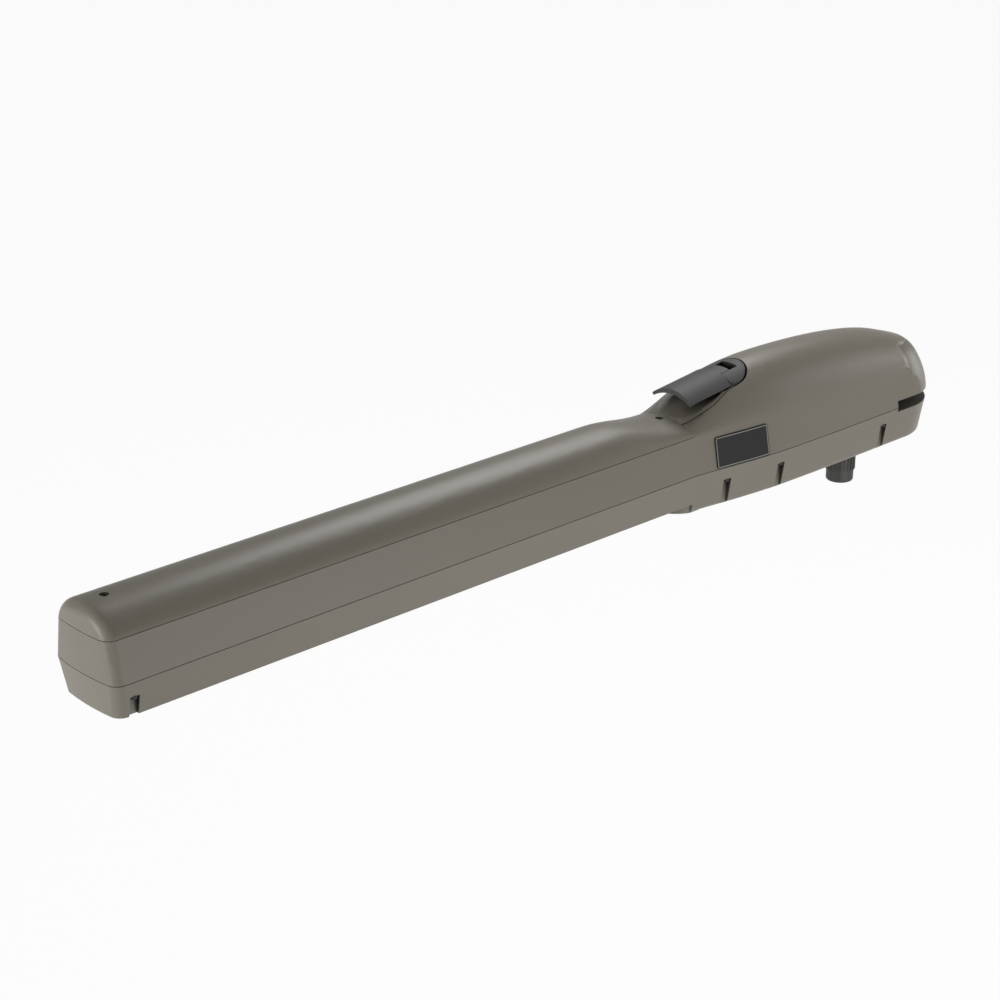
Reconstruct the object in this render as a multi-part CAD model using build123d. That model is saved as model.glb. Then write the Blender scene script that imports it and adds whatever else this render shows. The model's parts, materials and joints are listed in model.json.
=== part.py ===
from build123d import *
import math
import os

# Linear swing gate opener. Millimetres, +Z up, +X from the nose of the arm to the tail.
# The origin is on the rear pivot axis, halfway up the slot for the wall bracket.

# Casing: heights of the joints between the mouldings and half-widths at those heights
lower_seam_z = -1.9
lower_depth = 33.4
band_height = 40.5
cover_rise = 24.7
belly_drop = 10.5
seam_half = 47.5
underside_half = 42.1
upper_half = 40.2
wall = 3.0
seam_gap = 0.5
seam_depth = 0.9
lip_height = 4.0
lip_wall = 1.8

# Casing: places along the arm
nose_x = -1081.0
nose_bulge = 4.4
nose_radius = 12.0
junction_x = -358.0
scoop_length = 100.0
scoop_depth = 12.3
belly_lip = 26.0
belly_lip_half = 38.5
belly_round = 6.0
tail_radius = 60.0
tail_centre_x = -18.0

# Housing: distance behind the junction, half-width at the lower joint and height of the crown
housing_stations = [
    (0, 47.5, 51.0),
    (20, 49.6, 62.5),
    (38, 51.9, 72.5),
    (56, 54.2, 80.0),
    (81, 57.0, 85.0),
    (109, 59.3, 88.2),
    (150, 60.6, 89.4),
    (200, 61.0, 88.0),
    (250, 60.8, 84.5),
    (300, 60.2, 78.0),
    (340, 60.0, 69.0),
    (400, 60.0, 52.0),
]
housing_lean = 7.3

# Screw pockets in the lower shell, as distances from the rear pivot
pocket_xs = [-1057.0, -314.0, -237.5, -67.5]
pocket_half = 5.0
pocket_depth = 8.5
pocket_top_z = -16.0
pocket_wall = 2.5
boss_column = 14.0
shell_screw_r = 1.75
shell_screw_head_r = 3.2
shell_screw_head = 2.4

# Tail: slot for the wall bracket and the pivot pin
slot_height = 12.4
slot_front_x = -45.6
pivot_bore_r = 6.0
pivot_bush_wall = 2.5
pivot_flange_r = 11.0
ear_height = 13.0
ear_radius = 22.0
yoke_front_x = -74.0
yoke_rear_x = -52.0
yoke_half = 44.0
pin_access_r = 12.0

# Lever recess, release lever and its base
recess_front_half = 36.0
recess_front_x = -366.0
recess_front_z = 45.0
disc_front_x = -306.0
disc_x = -277.0
disc_r = 29.2
disc_floor_z = 66.0
groove = 1.2
base_wall = 2.2
joint_x = -287.0
joint_gap = 0.7
lever_half = 28.0
lever_front_x = -349.0
lever_front_crown_z = 78.3
lever_rear_crown_z = 85.6
lever_rise = 10.3
lever_wall = 2.6
tongue_half = 10.0
hinge_x = -276.0
hinge_z = 77.5
hinge_r = 4.2
hinge_pin_r = 2.0
hinge_pin_half = 16.0
cam_r = 5.5
cam_half = 2.5
window_rear_x = -261.0
barrel_x = -266.4
barrel_r = 4.8
barrel_top_z = 74.8

# Shift fork and the stirrup that pulls it
lift_angle = 75.0
fork_thickness = 3.0
fork_half = 19.0
stirrup_gap = 16.0
stirrup_low_z = 42.0
stirrup_high_z = 48.0
post_x = -297.0
post_thickness = 4.0
post_half = 5.0
post_low_z = 51.0
arm_low_z = 70.0
arm_high_z = 73.0

# Underside slot, seals and guide beam
slot_front_end = -976.0
slot_rear_end = -424.0
slot_half = 21.0
brush_inner = 15.0
brush_height = 2.5
beam_front_x = -1062.0
beam_half = 33.0
beam_top_z = 27.0
beam_wall = 3.0
beam_lip_half = 20.0

# Traveller
stroke = 500.0
carriage_x = -450.0
carriage_half = 41.0
carriage_side = 26.0
carriage_low_z = -25.0
carriage_high_z = 20.5
pad_length = 20.0
boss_r = 14.0
boss_low_z = -46.0
front_bush_wall = 2.5
front_bush_flange_r = 12.0
front_bush_flange = 1.5
front_bore_length = 25.5
nut_r = 13.0
nut_length = 52.0
nut_flange_r = 20.0
nut_flange = 6.0
nut_screw_r = 2.5
nut_screw_circle = 16.5

# Screw and its supports
screw_r = 8.0
front_journal_r = 6.0
bearing_journal_r = 7.0
gear_journal_r = 6.0
rear_journal_r = 5.0
bearing_r = 14.0
bearing_width = 9.0
rear_bearing_r = 11.0
rear_bearing_width = 7.0
front_block_x = -1056.0
front_block_length = 20.0
front_block_bush_r = 9.0
stop_length = 12.0
bumper_length = 4.6

# Gearbox and clutch
module_mm = 1.5
gear_teeth = 37
pinion_teeth = 11
gear_width = 10.0
pinion_width = 11.0
tooth_backlash = 0.16
pressure_angle = 20.0
case_front_x = -352.0
case_length = 52.0
case_wall = 3.5
case_floor = 8.0
cover_plate = 8.0
tower_front_x = -320.0
gear_front_x = -311.7
dog_height = 4.0
dog_inner_r = 8.0
dog_count = 4
collar_length = 14.0
collar_r = 14.5
groove_r = 11.0
groove_width = 4.4
hex_flats = 12.1
spring_wire_r = 0.6
spring_turns = 4

# Motor
motor_r = 26.0
motor_length = 102.0
motor_shaft_r = 4.0
motor_pilot_r = 9.4
end_bell_r = 23.0
end_bell_length = 12.0

# Tie bars between gearbox and tail fork
tie_r = 5.0
tie_y = 36.0
tie_z = -18.0
tie_nut_flats = 16.0
tie_nut = 7.0

# Cable gland
gland_x = -100.0
gland_y = -26.0
gland_stem_r = 12.4
gland_collar_r = 16.5
gland_collar = 22.0
gland_nut_r = 15.2
gland_nut = 13.0
gland_bore_r = 8.0
cable_seal_r = 5.0
cable_seal = 14.0

# Nameplate
plate_front_x = -330.5
plate_length = 71.5
plate_height = 33.0
plate_thickness = 1.2

# Cover screws
cover_screw_front_x = -1052.2
cover_screw_rear_x = -367.0
cover_screw_r = 2.5
cover_screw_head_r = 4.1
cover_screw_head = 3.4
cover_boss_r = 7.0

# Clearances shared by the fits
running = 0.05
sliding = 0.3
seat = 0.15

underside_z = lower_seam_z - lower_depth
belly_z = underside_z - belly_drop
upper_seam_z = lower_seam_z + band_height
crown_z = upper_seam_z + cover_rise
scoop_x = junction_x - scoop_length
draft = (seam_half - underside_half) / lower_depth
overlap = 14.0
far = 400.0
case_r = module_mm * (gear_teeth + 2) / 2 + 2.25 + case_wall
case_rear_x = case_front_x + case_length
centre_distance = module_mm * (gear_teeth + pinion_teeth) / 2
plate_rear_x = case_rear_x + cover_plate
beam_low_z = underside_z + wall + sliding
ear_low_z = slot_height / 2 + wall + sliding
ear_high_z = ear_low_z + ear_height
release_travel = cam_r * math.radians(lift_angle)


def box(x0, x1, y0, y1, z0, z1):
    """A block between two corners."""
    centre = ((x0 + x1) / 2, (y0 + y1) / 2, (z0 + z1) / 2)
    return Pos(*centre) * Box(abs(x1 - x0), abs(y1 - y0), abs(z1 - z0))


def rod(x, y, z0, z1, radius):
    """An upright cylinder."""
    return Pos(x, y, (z0 + z1) / 2) * Cylinder(radius, z1 - z0)


def rod_x(x0, x1, y, z, radius):
    """A cylinder along the arm."""
    return Pos((x0 + x1) / 2, y, z) * Rot(0, 90, 0) * Cylinder(radius, x1 - x0)


def rod_y(x, y0, y1, z, radius):
    """A cylinder across the arm."""
    return Pos(x, (y0 + y1) / 2, z) * Rot(90, 0, 0) * Cylinder(radius, y1 - y0)


def across(x):
    """The plane across the arm at x, drawn in y and z."""
    return Plane(origin=(x, 0, 0), x_dir=(0, 1, 0), z_dir=(1, 0, 0))


def side_view(y):
    """The plane along the arm at y, drawn in x and z, facing the near side."""
    return Plane(origin=(0, y, 0), x_dir=(1, 0, 0), z_dir=(0, -1, 0))


def hex_x(x0, x1, y, z, flats):
    """A hexagonal bar along the arm."""
    face = across(x0) * (Pos(y, z) * RegularPolygon(flats / 2, 6, major_radius=False))
    return extrude(face, x1 - x0, dir=(1, 0, 0))


def both_sides(shape):
    """A piece and its mirror image across the arm."""
    return shape + mirror(shape, Plane.XZ)


def half_at(x):
    """Half-width of the casing at the lower joint."""
    run = x - junction_x
    if run <= 0:
        return seam_half
    for (x0, h0, _), (x1, h1, _) in zip(housing_stations, housing_stations[1:]):
        if run <= x1:
            return h0 + (h1 - h0) * (run - x0) / (x1 - x0)
    return tail_radius


# Casing forms: each is the outer form drawn in by an inset, so that walls follow the outside
def arch_section(x, half, upper, crown, inset):
    """Section above the lower joint: leaning sides and an arched crown."""
    lean = Vector(upper - half, band_height)
    lift = (crown - upper_seam_z) * 0.45 / band_height
    foot = Vector(half - inset, lower_seam_z)
    shoulder = Vector(upper - inset, upper_seam_z)
    top = Vector(0, crown - inset)
    rise = shoulder + lean * lift
    ease = Vector((upper - inset) * 0.62, crown - inset)

    def flip(point):
        return Vector(-point.X, point.Y)

    edges = [
        Line(flip(foot), foot),
        Line(foot, shoulder),
        Bezier(shoulder, rise, ease, top),
        Bezier(top, flip(ease), flip(rise), flip(shoulder)),
        Line(flip(shoulder), flip(foot)),
    ]
    return across(x) * make_face(edges)


def scoop_crown(x):
    """Height of the arm's crown, which dips towards the housing."""
    run = min(max((x - scoop_x) / scoop_length, 0), 1)
    return crown_z - scoop_depth * (1 - math.cos(math.pi * run)) / 2


def nose_outline(inset, drop):
    """The arm in plan with its shallow bulging nose, drawn in by the draft of the side."""
    half = seam_half + 1 - inset
    front = nose_x + inset + drop
    return make_face([
        ThreePointArc((front + nose_bulge, -half), (front, 0), (front + nose_bulge, half)),
        Line((front + nose_bulge, half), (0, half)),
        Line((0, half), (0, -half)),
        Line((0, -half), (front + nose_bulge, -half)),
    ])


def nose_edges(form, inset, drop):
    """The edges between the nose face and the sides, and over the crown."""
    limit = nose_x + inset + drop + nose_bulge + 1
    picked = []
    for edge in form.edges():
        bounds = edge.bounding_box()
        upright = bounds.size.Z > lower_depth / 2
        over_crown = bounds.min.Z > upper_seam_z - 1
        if bounds.max.X < limit and (upright or over_crown):
            picked.append(edge)
    return picked


def arm_upper(inset):
    """The arm above the lower joint, from the nose to the junction."""
    start = nose_x - 5
    section = arch_section(start, seam_half, upper_half, crown_z, inset)
    straight = extrude(section, scoop_x - start, dir=(1, 0, 0))
    plan = extrude(Pos(0, 0, lower_seam_z - 1) * nose_outline(inset, 0), crown_z - lower_seam_z + 2)
    nose = straight & plan
    nose = fillet(nose_edges(nose, inset, 0), nose_radius - inset)
    steps = 5
    stations = [scoop_x + scoop_length * i / steps for i in range(steps + 1)]
    scoop = loft([arch_section(x, seam_half, upper_half, scoop_crown(x), inset) for x in stations])
    return nose + scoop


def arm_lower(inset):
    """The arm below the lower joint."""
    start = nose_x - 5
    half = seam_half - inset
    base = underside_half - inset
    floor = underside_z + inset
    face = make_face(Polyline(
        (-half, lower_seam_z), (-base, floor), (base, floor), (half, lower_seam_z), close=True
    ))
    form = extrude(across(start) * face, junction_x + overlap - start, dir=(1, 0, 0))
    drop = draft * lower_depth
    low = Pos(0, 0, underside_z) * nose_outline(inset, drop)
    high = Pos(0, 0, lower_seam_z) * nose_outline(inset, 0)
    form = form & loft([low, high], ruled=True)
    return fillet(nose_edges(form, inset, drop), nose_radius - inset)


def belly_corner(side, inset):
    """Points of the belly's rounded corner for a half-width at the lower joint."""
    floor = belly_z + inset
    base = side - draft * (lower_seam_z - floor)
    radius = max(belly_round - inset, 1)
    return (base + draft * radius, floor + radius), (base, floor), (base - radius, floor)


def belly_section(x, half, inset):
    """Section of the housing below the lower joint."""
    side = half - inset
    high, corner, low = belly_corner(side, inset)

    def flip(point):
        return (-point[0], point[1])

    edges = [
        Line((-side, lower_seam_z), (side, lower_seam_z)),
        Line((side, lower_seam_z), high),
        Bezier(high, corner, low),
        Line(low, flip(low)),
        Bezier(flip(low), flip(corner), flip(high)),
        Line(flip(high), (-side, lower_seam_z)),
    ]
    return across(x) * make_face(edges)


def belly_tail(inset):
    """Round tail of the belly as a solid of revolution."""
    side = tail_radius - inset
    high, corner, low = belly_corner(side, inset)
    profile = make_face([
        Line((0, low[1]), low),
        Bezier(low, corner, high),
        Line(high, (side, lower_seam_z)),
        Line((side, lower_seam_z), (0, lower_seam_z)),
        Line((0, lower_seam_z), (0, low[1])),
    ])
    return Pos(tail_centre_x, 0, 0) * revolve(Plane.XZ * profile, Axis.Z, 360)


def belly_front(inset):
    """Rounded lip of the belly under the arm."""
    half = belly_lip_half - inset
    front = junction_x - belly_lip + inset
    plan = make_face([
        ThreePointArc((junction_x, half), (front, 0), (junction_x, -half)),
        Line((junction_x, -half), (junction_x + overlap, -half)),
        Line((junction_x + overlap, -half), (junction_x + overlap, half)),
        Line((junction_x + overlap, half), (junction_x, half)),
    ])
    lip = extrude(Pos(0, 0, belly_z + inset) * plan, belly_drop + wall / 2)
    return lip


def housing_lower(inset):
    """The housing below the lower joint, drawn in towards the belly."""
    form = loft([
        belly_section(junction_x + x, half, inset)
        for x, half, crown in housing_stations
    ])
    form &= box(junction_x + inset, tail_centre_x, -far, far, belly_z - 1, lower_seam_z + 1)
    rear = box(tail_centre_x, far, -far, far, belly_z - 1, lower_seam_z + 1)
    return form + (belly_tail(inset) & rear) + belly_front(inset)


def tail_profile(radius, top):
    """Half section of the round tail, from the lower joint to above the crown."""
    low = lower_seam_z - 1
    return make_face([
        Line((0, low), (radius, low)),
        Spline([
            (radius, low),
            (radius - 0.8, low + 13),
            (radius - 6.0, low + 33),
            (radius - 13.0, low + 47),
            (radius - 27.0, low + 61),
        ], tangents=[(0, 1), (-1, 0.55)]),
        Line((radius - 27.0, low + 61), (0, top)),
        Line((0, top), (0, low)),
    ])


def housing_upper(inset):
    """The swelling housing above the lower joint, with its round tail."""
    dome = loft([
        arch_section(junction_x + x, half, half - housing_lean, crown, inset)
        for x, half, crown in housing_stations
    ])
    top = max(crown for _, _, crown in housing_stations) + 20
    tail = revolve(Plane.XZ * tail_profile(tail_radius - inset, top), Axis.Z, 360)
    front = box(junction_x - 1, tail_centre_x, -far, far, lower_seam_z - 1, top)
    return dome & (front + Pos(tail_centre_x, 0, 0) * tail)


def above(z):
    """All the space above a height."""
    return box(nose_x - far, far, -far, far, z, z + far)


def below(z):
    """All the space below a height."""
    return box(nose_x - far, far, -far, far, z - far, z)


def recess(grow):
    """Recess for the release lever: a tapering channel that ends in a round pocket."""
    half = recess_front_half + grow
    radius = disc_r + grow
    plan = make_face([
        Line((recess_front_x, -half), (disc_front_x, -radius - 1.5)),
        Spline([(disc_front_x, -radius - 1.5), (disc_x, -radius)], tangents=[(1, 0.15), (1, 0)]),
        ThreePointArc((disc_x, -radius), (disc_x + radius, 0), (disc_x, radius)),
        Spline([(disc_x, radius), (disc_front_x, radius + 1.5)], tangents=[(-1, 0), (-1, 0.15)]),
        Line((disc_front_x, radius + 1.5), (recess_front_x, half)),
        Line((recess_front_x, half), (recess_front_x, -half)),
    ])
    top = crown_z + far / 4
    profile = make_face(Polyline(
        (recess_front_x, recess_front_z - grow),
        (disc_front_x, disc_floor_z - grow),
        (disc_x + radius + 1, disc_floor_z - grow),
        (disc_x + radius + 1, top),
        (recess_front_x, top),
        close=True,
    ))
    channel = extrude(plan, top)
    return channel & extrude(side_view(half + 5) * profile, 2 * (half + 5))


def slot_form(grow):
    """The slot for the wall bracket, open on three sides of the tail."""
    half = slot_height / 2 + grow
    return box(slot_front_x - grow, far, -far, far, -half, half)


def seam_cut(z, low, high, *inners):
    """A shadow gap round the casing at a joint."""
    cut = box(nose_x - far, far, -far, far, z - low, z + high)
    for inner in inners:
        cut -= inner
    return cut


def pocket(x):
    """The upright recess at the near-side screw of the lower shell."""
    inner = half_at(x) - pocket_depth
    return box(x - pocket_half, x + pocket_half, -far, -inner, belly_z - far, pocket_top_z)


def column(x, z0, z1, grow):
    """The block of moulding round a near-side shell screw."""
    inner = half_at(x) - pocket_depth - pocket_wall
    side = pocket_half + grow
    return box(x - side, x + side, -far, -inner, z0, z1)


def shell_screw_places():
    """Axis of each shell screw in plan."""
    places = []
    for x in pocket_xs:
        y = half_at(x) - pocket_depth + shell_screw_head_r + 0.6
        places += [(x, -y), (x, y)]
    return places


def lower_shell(arm, arm_in, house, house_in):
    """Lower moulding: trough of the arm and the belly of the housing."""
    shell = arm + house - arm_in - (house_in - slot_form(wall))
    for x in pocket_xs:
        form = arm if x < junction_x else house
        shell += both_sides(column(x, belly_z, lower_seam_z, pocket_wall)) & form
    for x in pocket_xs:
        shell -= both_sides(pocket(x))
    for x, y in shell_screw_places():
        shell -= rod(x, y, pocket_top_z - 1, lower_seam_z + 1, shell_screw_r + seat)
    mid = slot_front_end + slot_half
    end = slot_rear_end - slot_half
    slot = box(mid, end, -slot_half, slot_half, underside_z - 1, underside_z + wall + 1)
    slot += rod(mid, 0, underside_z - 1, underside_z + wall + 1, slot_half)
    slot += rod(end, 0, underside_z - 1, underside_z + wall + 1, slot_half)
    shell -= slot
    shell -= slot_form(0)
    shell -= rod(0, 0, -slot_height, 0, pivot_flange_r + sliding)
    shell -= rod(0, 0, belly_z - 1, belly_z + wall + 1, pin_access_r)
    shell -= rod(gland_x, gland_y, belly_z - 1, belly_z + wall + 1, gland_stem_r + seat)
    return shell


def upper_shell(arm, arm_in, arm_rim, house, house_in, house_rim):
    """Upper moulding: side band of the arm and the swelling housing in one piece."""
    band = arm & below(upper_seam_z)
    passage_half = beam_half + 1.5
    inner = house_in & box(junction_x + wall, far, -far, far, lower_seam_z - 1, far)
    inner = inner - slot_form(wall) - recess(wall)
    shell = band + house - arm_in - inner - recess(0) - slot_form(0)
    for x in pocket_xs:
        form = arm if x < junction_x else house
        shell += both_sides(column(x, lower_seam_z, lower_seam_z + boss_column, pocket_wall)) & form
    shell -= box(junction_x - 1, junction_x + wall + 1, -passage_half, passage_half,
                 lower_seam_z - 1, case_r + 1)
    shell -= rod(0, 0, 0, slot_height, pivot_flange_r + sliding)
    for x, y in shell_screw_places():
        shell -= rod(x, y, lower_seam_z - 1, lower_seam_z + boss_column - 2, shell_screw_r)
    post = release_post_space()
    shell -= box(*post, disc_floor_z - wall - 1, disc_floor_z + 1)
    shell -= seam_cut(lower_seam_z, 1, seam_gap, arm_rim, house_rim)
    groove_cut = seam_cut(upper_seam_z, seam_gap / 2, 1, arm_rim)
    groove_cut &= box(nose_x - far, junction_x, -far, far, 0, upper_seam_z + 1)
    return shell - groove_cut


def cover_screw_places():
    """Axis of each top cover screw and the height of the crown there."""
    return [(x, scoop_crown(x)) for x in (cover_screw_front_x, cover_screw_rear_x)]


def top_cover(arm, arm_in, arm_rim, arm_lip, arm_lip_in):
    """Arched cover of the arm, which dips to meet the housing."""
    cover = (arm - arm_in) & above(upper_seam_z)
    lip = arm_lip & box(nose_x, junction_x - 2, -far, far, upper_seam_z - lip_height, upper_seam_z)
    lip += arm_in & box(nose_x, junction_x - 2, -far, far, upper_seam_z, upper_seam_z + 3)
    cover += lip - arm_lip_in
    for x, crown in cover_screw_places():
        cover += rod(x, 0, crown - 9, crown + 5, cover_boss_r) & arm
        cover -= rod(x, 0, crown - 4.5, crown + 5, cover_screw_head_r + sliding)
        cover -= rod(x, 0, crown - 10, crown, cover_screw_r + seat)
    return cover - (seam_cut(upper_seam_z, 0, seam_gap / 2, arm_rim) & above(upper_seam_z))


def cover_screws():
    """Socket-head screws that hold the top cover."""
    screws = []
    for x, crown in cover_screw_places():
        head_low = crown - 4.5
        screw = rod(x, 0, head_low, head_low + cover_screw_head, cover_screw_head_r)
        screw += rod(x, 0, crown - 17, head_low, cover_screw_r)
        key = RegularPolygon(2.0, 6, major_radius=False)
        screw -= extrude(Pos(x, 0, head_low + cover_screw_head - 2) * key, 3)
        screws.append(screw)
    return screws


def cover_posts():
    """Threaded posts that carry the cover screws on the guide beam."""
    return [
        rod(x, 0, beam_top_z, crown - 9, 5.5) - rod(x, 0, crown - 17.5, crown, cover_screw_r)
        for x, crown in cover_screw_places()
    ]


def shell_screws():
    """Screws that clamp the lower shell, heads up in its side pockets."""
    screws = []
    for x, y in shell_screw_places():
        screw = rod(x, y, pocket_top_z - shell_screw_head, pocket_top_z, shell_screw_head_r)
        screw += rod(x, y, pocket_top_z, lower_seam_z + boss_column - 3, shell_screw_r)
        screws.append(screw)
    return screws


def nameplate(outset, house):
    """Bare plate that follows the swell of the near side."""
    outline = RectangleRounded(plate_length, plate_height, 2)
    middle = Pos(plate_front_x + plate_length / 2, lower_seam_z + 1.4 + plate_height / 2)
    window = extrude(side_view(0) * (middle * outline), far)
    return (outset & window) - house


# Release lever
def release_post_space():
    """Plan of the opening that the release post moves through: x0, x1, y0, y1."""
    front = post_x - release_travel - 0.9
    return front, post_x + post_thickness + 1.2, -post_half - 0.8, post_half + 0.8


def lever_base(house):
    """Black base that lines the recess and ends in a flush disc with the key window."""
    rim = recess(-seat - groove / 2) & house
    tray_x = joint_x + joint_gap
    hollow = recess(-groove / 2 - seat - base_wall) & box(recess_front_x - 5, tray_x, -far, far, 0, far)
    base = rim - hollow
    slot_low = disc_floor_z + seat + groove / 2 + base_wall - 0.2
    half = tongue_half + sliding + 0.2
    base -= box(tray_x - 1, barrel_x + 0.001 - barrel_r - 0.3, -half, half, slot_low, far)
    base -= box(tray_x - 1, window_rear_x, -half, half, barrel_top_z + sliding, far)
    base -= rod(barrel_x, 0, slot_low, far, barrel_r + running)
    base -= rod_y(hinge_x, -hinge_pin_half, hinge_pin_half, hinge_z, hinge_pin_r)
    skirt = lever_half + sliding
    base -= box(joint_x - 20, tray_x, -skirt, skirt, lever_rear_crown_z - lever_rise - 3.5, far)
    post = release_post_space()
    return base - box(*post, 0, slot_low + 1)


def lever_section(x, crown):
    """Arched section of the lever, open below."""
    edge = crown - lever_rise
    inner_half = lever_half - lever_wall * 0.8
    face = make_face([
        ThreePointArc((-lever_half, edge), (0, crown), (lever_half, edge)),
        Line((lever_half, edge), (inner_half, edge)),
        ThreePointArc((inner_half, edge), (0, crown - lever_wall), (-inner_half, edge)),
        Line((-inner_half, edge), (-lever_half, edge)),
    ])
    return across(x) * face


def release_lever(house):
    """Lever that lifts to release the drive, with its hinge tongue and cam."""
    sections = [
        lever_section(lever_front_x, lever_front_crown_z),
        lever_section(joint_x, lever_rear_crown_z),
    ]
    lever = loft(sections, ruled=True)
    tongue = box(joint_x - 8, hinge_x + 3, -tongue_half, tongue_half, hinge_z, crown_z + far)
    tongue = tongue & house
    lever += tongue - box(joint_x - 9, hinge_x - hinge_r, -far, far, 0, hinge_z + 1.5)
    lever += rod_y(hinge_x, -tongue_half, tongue_half, hinge_z, hinge_r)
    lever += box(hinge_x - cam_half, hinge_x + cam_half, -post_half, post_half,
                 hinge_z - cam_r, hinge_z)
    return lever - rod_y(hinge_x, -far, far, hinge_z, hinge_pin_r + running)


def lever_pin():
    """Pin that the lever turns on, held in the base."""
    return rod_y(hinge_x, -hinge_pin_half, hinge_pin_half, hinge_z, hinge_pin_r)


def lock_barrel():
    """Key barrel behind the lever's tongue."""
    low = disc_floor_z + seat + groove / 2 + base_wall - 0.2 + sliding
    barrel = rod(barrel_x, 0, low, barrel_top_z, barrel_r)
    keyway = box(barrel_x - 3.2, barrel_x + 3.2, -0.6, 0.6, barrel_top_z - 3, barrel_top_z + 1)
    return barrel - keyway


# Guide beam and traveller
def guide_beam():
    """Aluminium channel, open below between two lips."""
    outer = box(beam_front_x, case_front_x, -beam_half, beam_half, beam_low_z, beam_top_z)
    side = beam_half - beam_wall
    inner = box(beam_front_x - 1, case_front_x + 1, -side, side,
                beam_low_z + beam_wall, beam_top_z - beam_wall)
    mouth = box(beam_front_x - 1, case_front_x + 1, -beam_lip_half, beam_lip_half,
                beam_low_z - 1, beam_low_z + beam_wall + 1)
    beam = outer - inner - mouth
    return beam


def beam_fill(x0, x1):
    """A block that fits inside the guide beam."""
    side = beam_half - beam_wall - seat
    return box(x0, x1, -side, side, beam_low_z + beam_wall + seat, beam_top_z - beam_wall - seat)


def front_block():
    """Block in the nose end of the beam that carries the front bush."""
    end = front_block_x + front_block_length
    return beam_fill(front_block_x, end) - rod_x(front_block_x - 1, end + 1, 0, 0, front_block_bush_r)


def front_bush():
    """Plain bush for the front end of the screw."""
    end = front_block_x + front_block_length
    bush = rod_x(front_block_x, end, 0, 0, front_block_bush_r)
    bush += rod_x(end, end + 1.5, 0, 0, front_block_bush_r + 2.5)
    return bush - rod_x(front_block_x - 1, end + 3, 0, 0, front_journal_r + running)


def stop_faces():
    """Where the front and rear bumpers meet the traveller."""
    front = carriage_x - stroke - carriage_half - sliding
    rear = carriage_x + carriage_half + 2 + sliding
    return front, rear


def travel_stops():
    """Blocks in the beam behind the bumpers."""
    front, rear = stop_faces()
    bore = screw_r + 1.5
    blocks = []
    for low, high in [
        (front - bumper_length - stop_length, front - bumper_length),
        (rear + bumper_length, rear + bumper_length + stop_length),
    ]:
        blocks.append(beam_fill(low, high) - rod_x(low - 1, high + 1, 0, 0, bore))
    return blocks


def stop_bumpers():
    """Rubber rings that cushion the ends of the stroke."""
    front, rear = stop_faces()
    rings = []
    for low in (front - bumper_length, rear):
        ring = rod_x(low, low + bumper_length, 0, 0, beam_half - beam_wall - 12)
        rings.append(ring - rod_x(low - 1, low + bumper_length + 1, 0, 0, screw_r + 3))
    return rings


def brush_seals():
    """Brush strips along both edges of the underside slot."""
    length = slot_half
    return [
        box(slot_front_end + length, slot_rear_end - length, sign * brush_inner, sign * slot_half,
            underside_z + 0.3, underside_z + 0.3 + brush_height)
        for sign in (-1, 1)
    ]


def carriage_body():
    """Traveller block with the boss that comes down through the slot."""
    x0 = carriage_x - carriage_half
    x1 = carriage_x + carriage_half - nut_flange + 2
    body = box(x0, x1, -carriage_side, carriage_side, carriage_low_z, carriage_high_z)
    body = chamfer(body.edges().filter_by(Axis.X), 3)
    body += rod(carriage_x, 0, boss_low_z, carriage_low_z + 1, boss_r)
    body -= rod_x(x0 - 1, x1 + 1, 0, 0, screw_r + 1.5)
    body -= rod_x(x1 - nut_length + nut_flange, x1 + 1, 0, 0, nut_r)
    depth = front_bore_length - front_bush_flange
    body -= rod(carriage_x, 0, boss_low_z - 1, boss_low_z + depth, pivot_bore_r + front_bush_wall)
    for y, z in nut_screw_places():
        body -= rod_x(x1 - 12, x1 + 1, y, z, nut_screw_r)
    return body


def nut_screw_places():
    """Places of the four screws in the nut flange."""
    reach = nut_screw_circle * math.sqrt(0.5)
    return [(y, z) for y in (-reach, reach) for z in (-reach, reach)]


def drive_nut():
    """Bronze nut that the screw drives."""
    x1 = carriage_x + carriage_half - nut_flange + 2
    nut = rod_x(x1 - nut_length + nut_flange, x1, 0, 0, nut_r)
    nut += rod_x(x1, x1 + nut_flange, 0, 0, nut_flange_r)
    nut -= rod_x(x1 - nut_length, x1 + nut_flange + 1, 0, 0, screw_r + running)
    for y, z in nut_screw_places():
        nut -= rod_x(x1 - 1, x1 + nut_flange + 1, y, z, nut_screw_r)
    return nut


def nut_screws():
    """Screws that hold the nut to the traveller."""
    x1 = carriage_x + carriage_half - nut_flange + 2
    return [rod_x(x1 - 12, x1 + nut_flange, y, z, nut_screw_r) for y, z in nut_screw_places()]


def slide_pads():
    """Plastic pads at the corners of the traveller, which slide in the beam."""
    side = beam_half - beam_wall - sliding
    low = beam_low_z + beam_wall + sliding
    high = beam_top_z - beam_wall - sliding
    x1 = carriage_x + carriage_half - nut_flange + 2
    pads = []
    for start in (carriage_x - carriage_half, x1 - pad_length):
        for sign in (-1, 1):
            pad = box(start, start + pad_length, sign * carriage_side, sign * side, low, high)
            pad += box(start, start + pad_length, sign * 21, sign * side, carriage_high_z, high)
            pad += box(start, start + pad_length, sign * 21, sign * side, low, carriage_low_z)
            pads.append(pad)
    return pads


def front_pivot_bush():
    """Flanged bush in the traveller's boss for the gate bracket's pin."""
    top = boss_low_z + front_bore_length - front_bush_flange
    bush = rod(carriage_x, 0, boss_low_z, top, pivot_bore_r + front_bush_wall)
    bush += rod(carriage_x, 0, boss_low_z - front_bush_flange, boss_low_z, front_bush_flange_r)
    return bush - rod(carriage_x, 0, boss_low_z - 5, top + 1, pivot_bore_r)


# Screw, clutch and gears
def collar_x():
    """Front face of the clutch collar when engaged."""
    return gear_front_x - sliding - dog_height - collar_length


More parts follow.
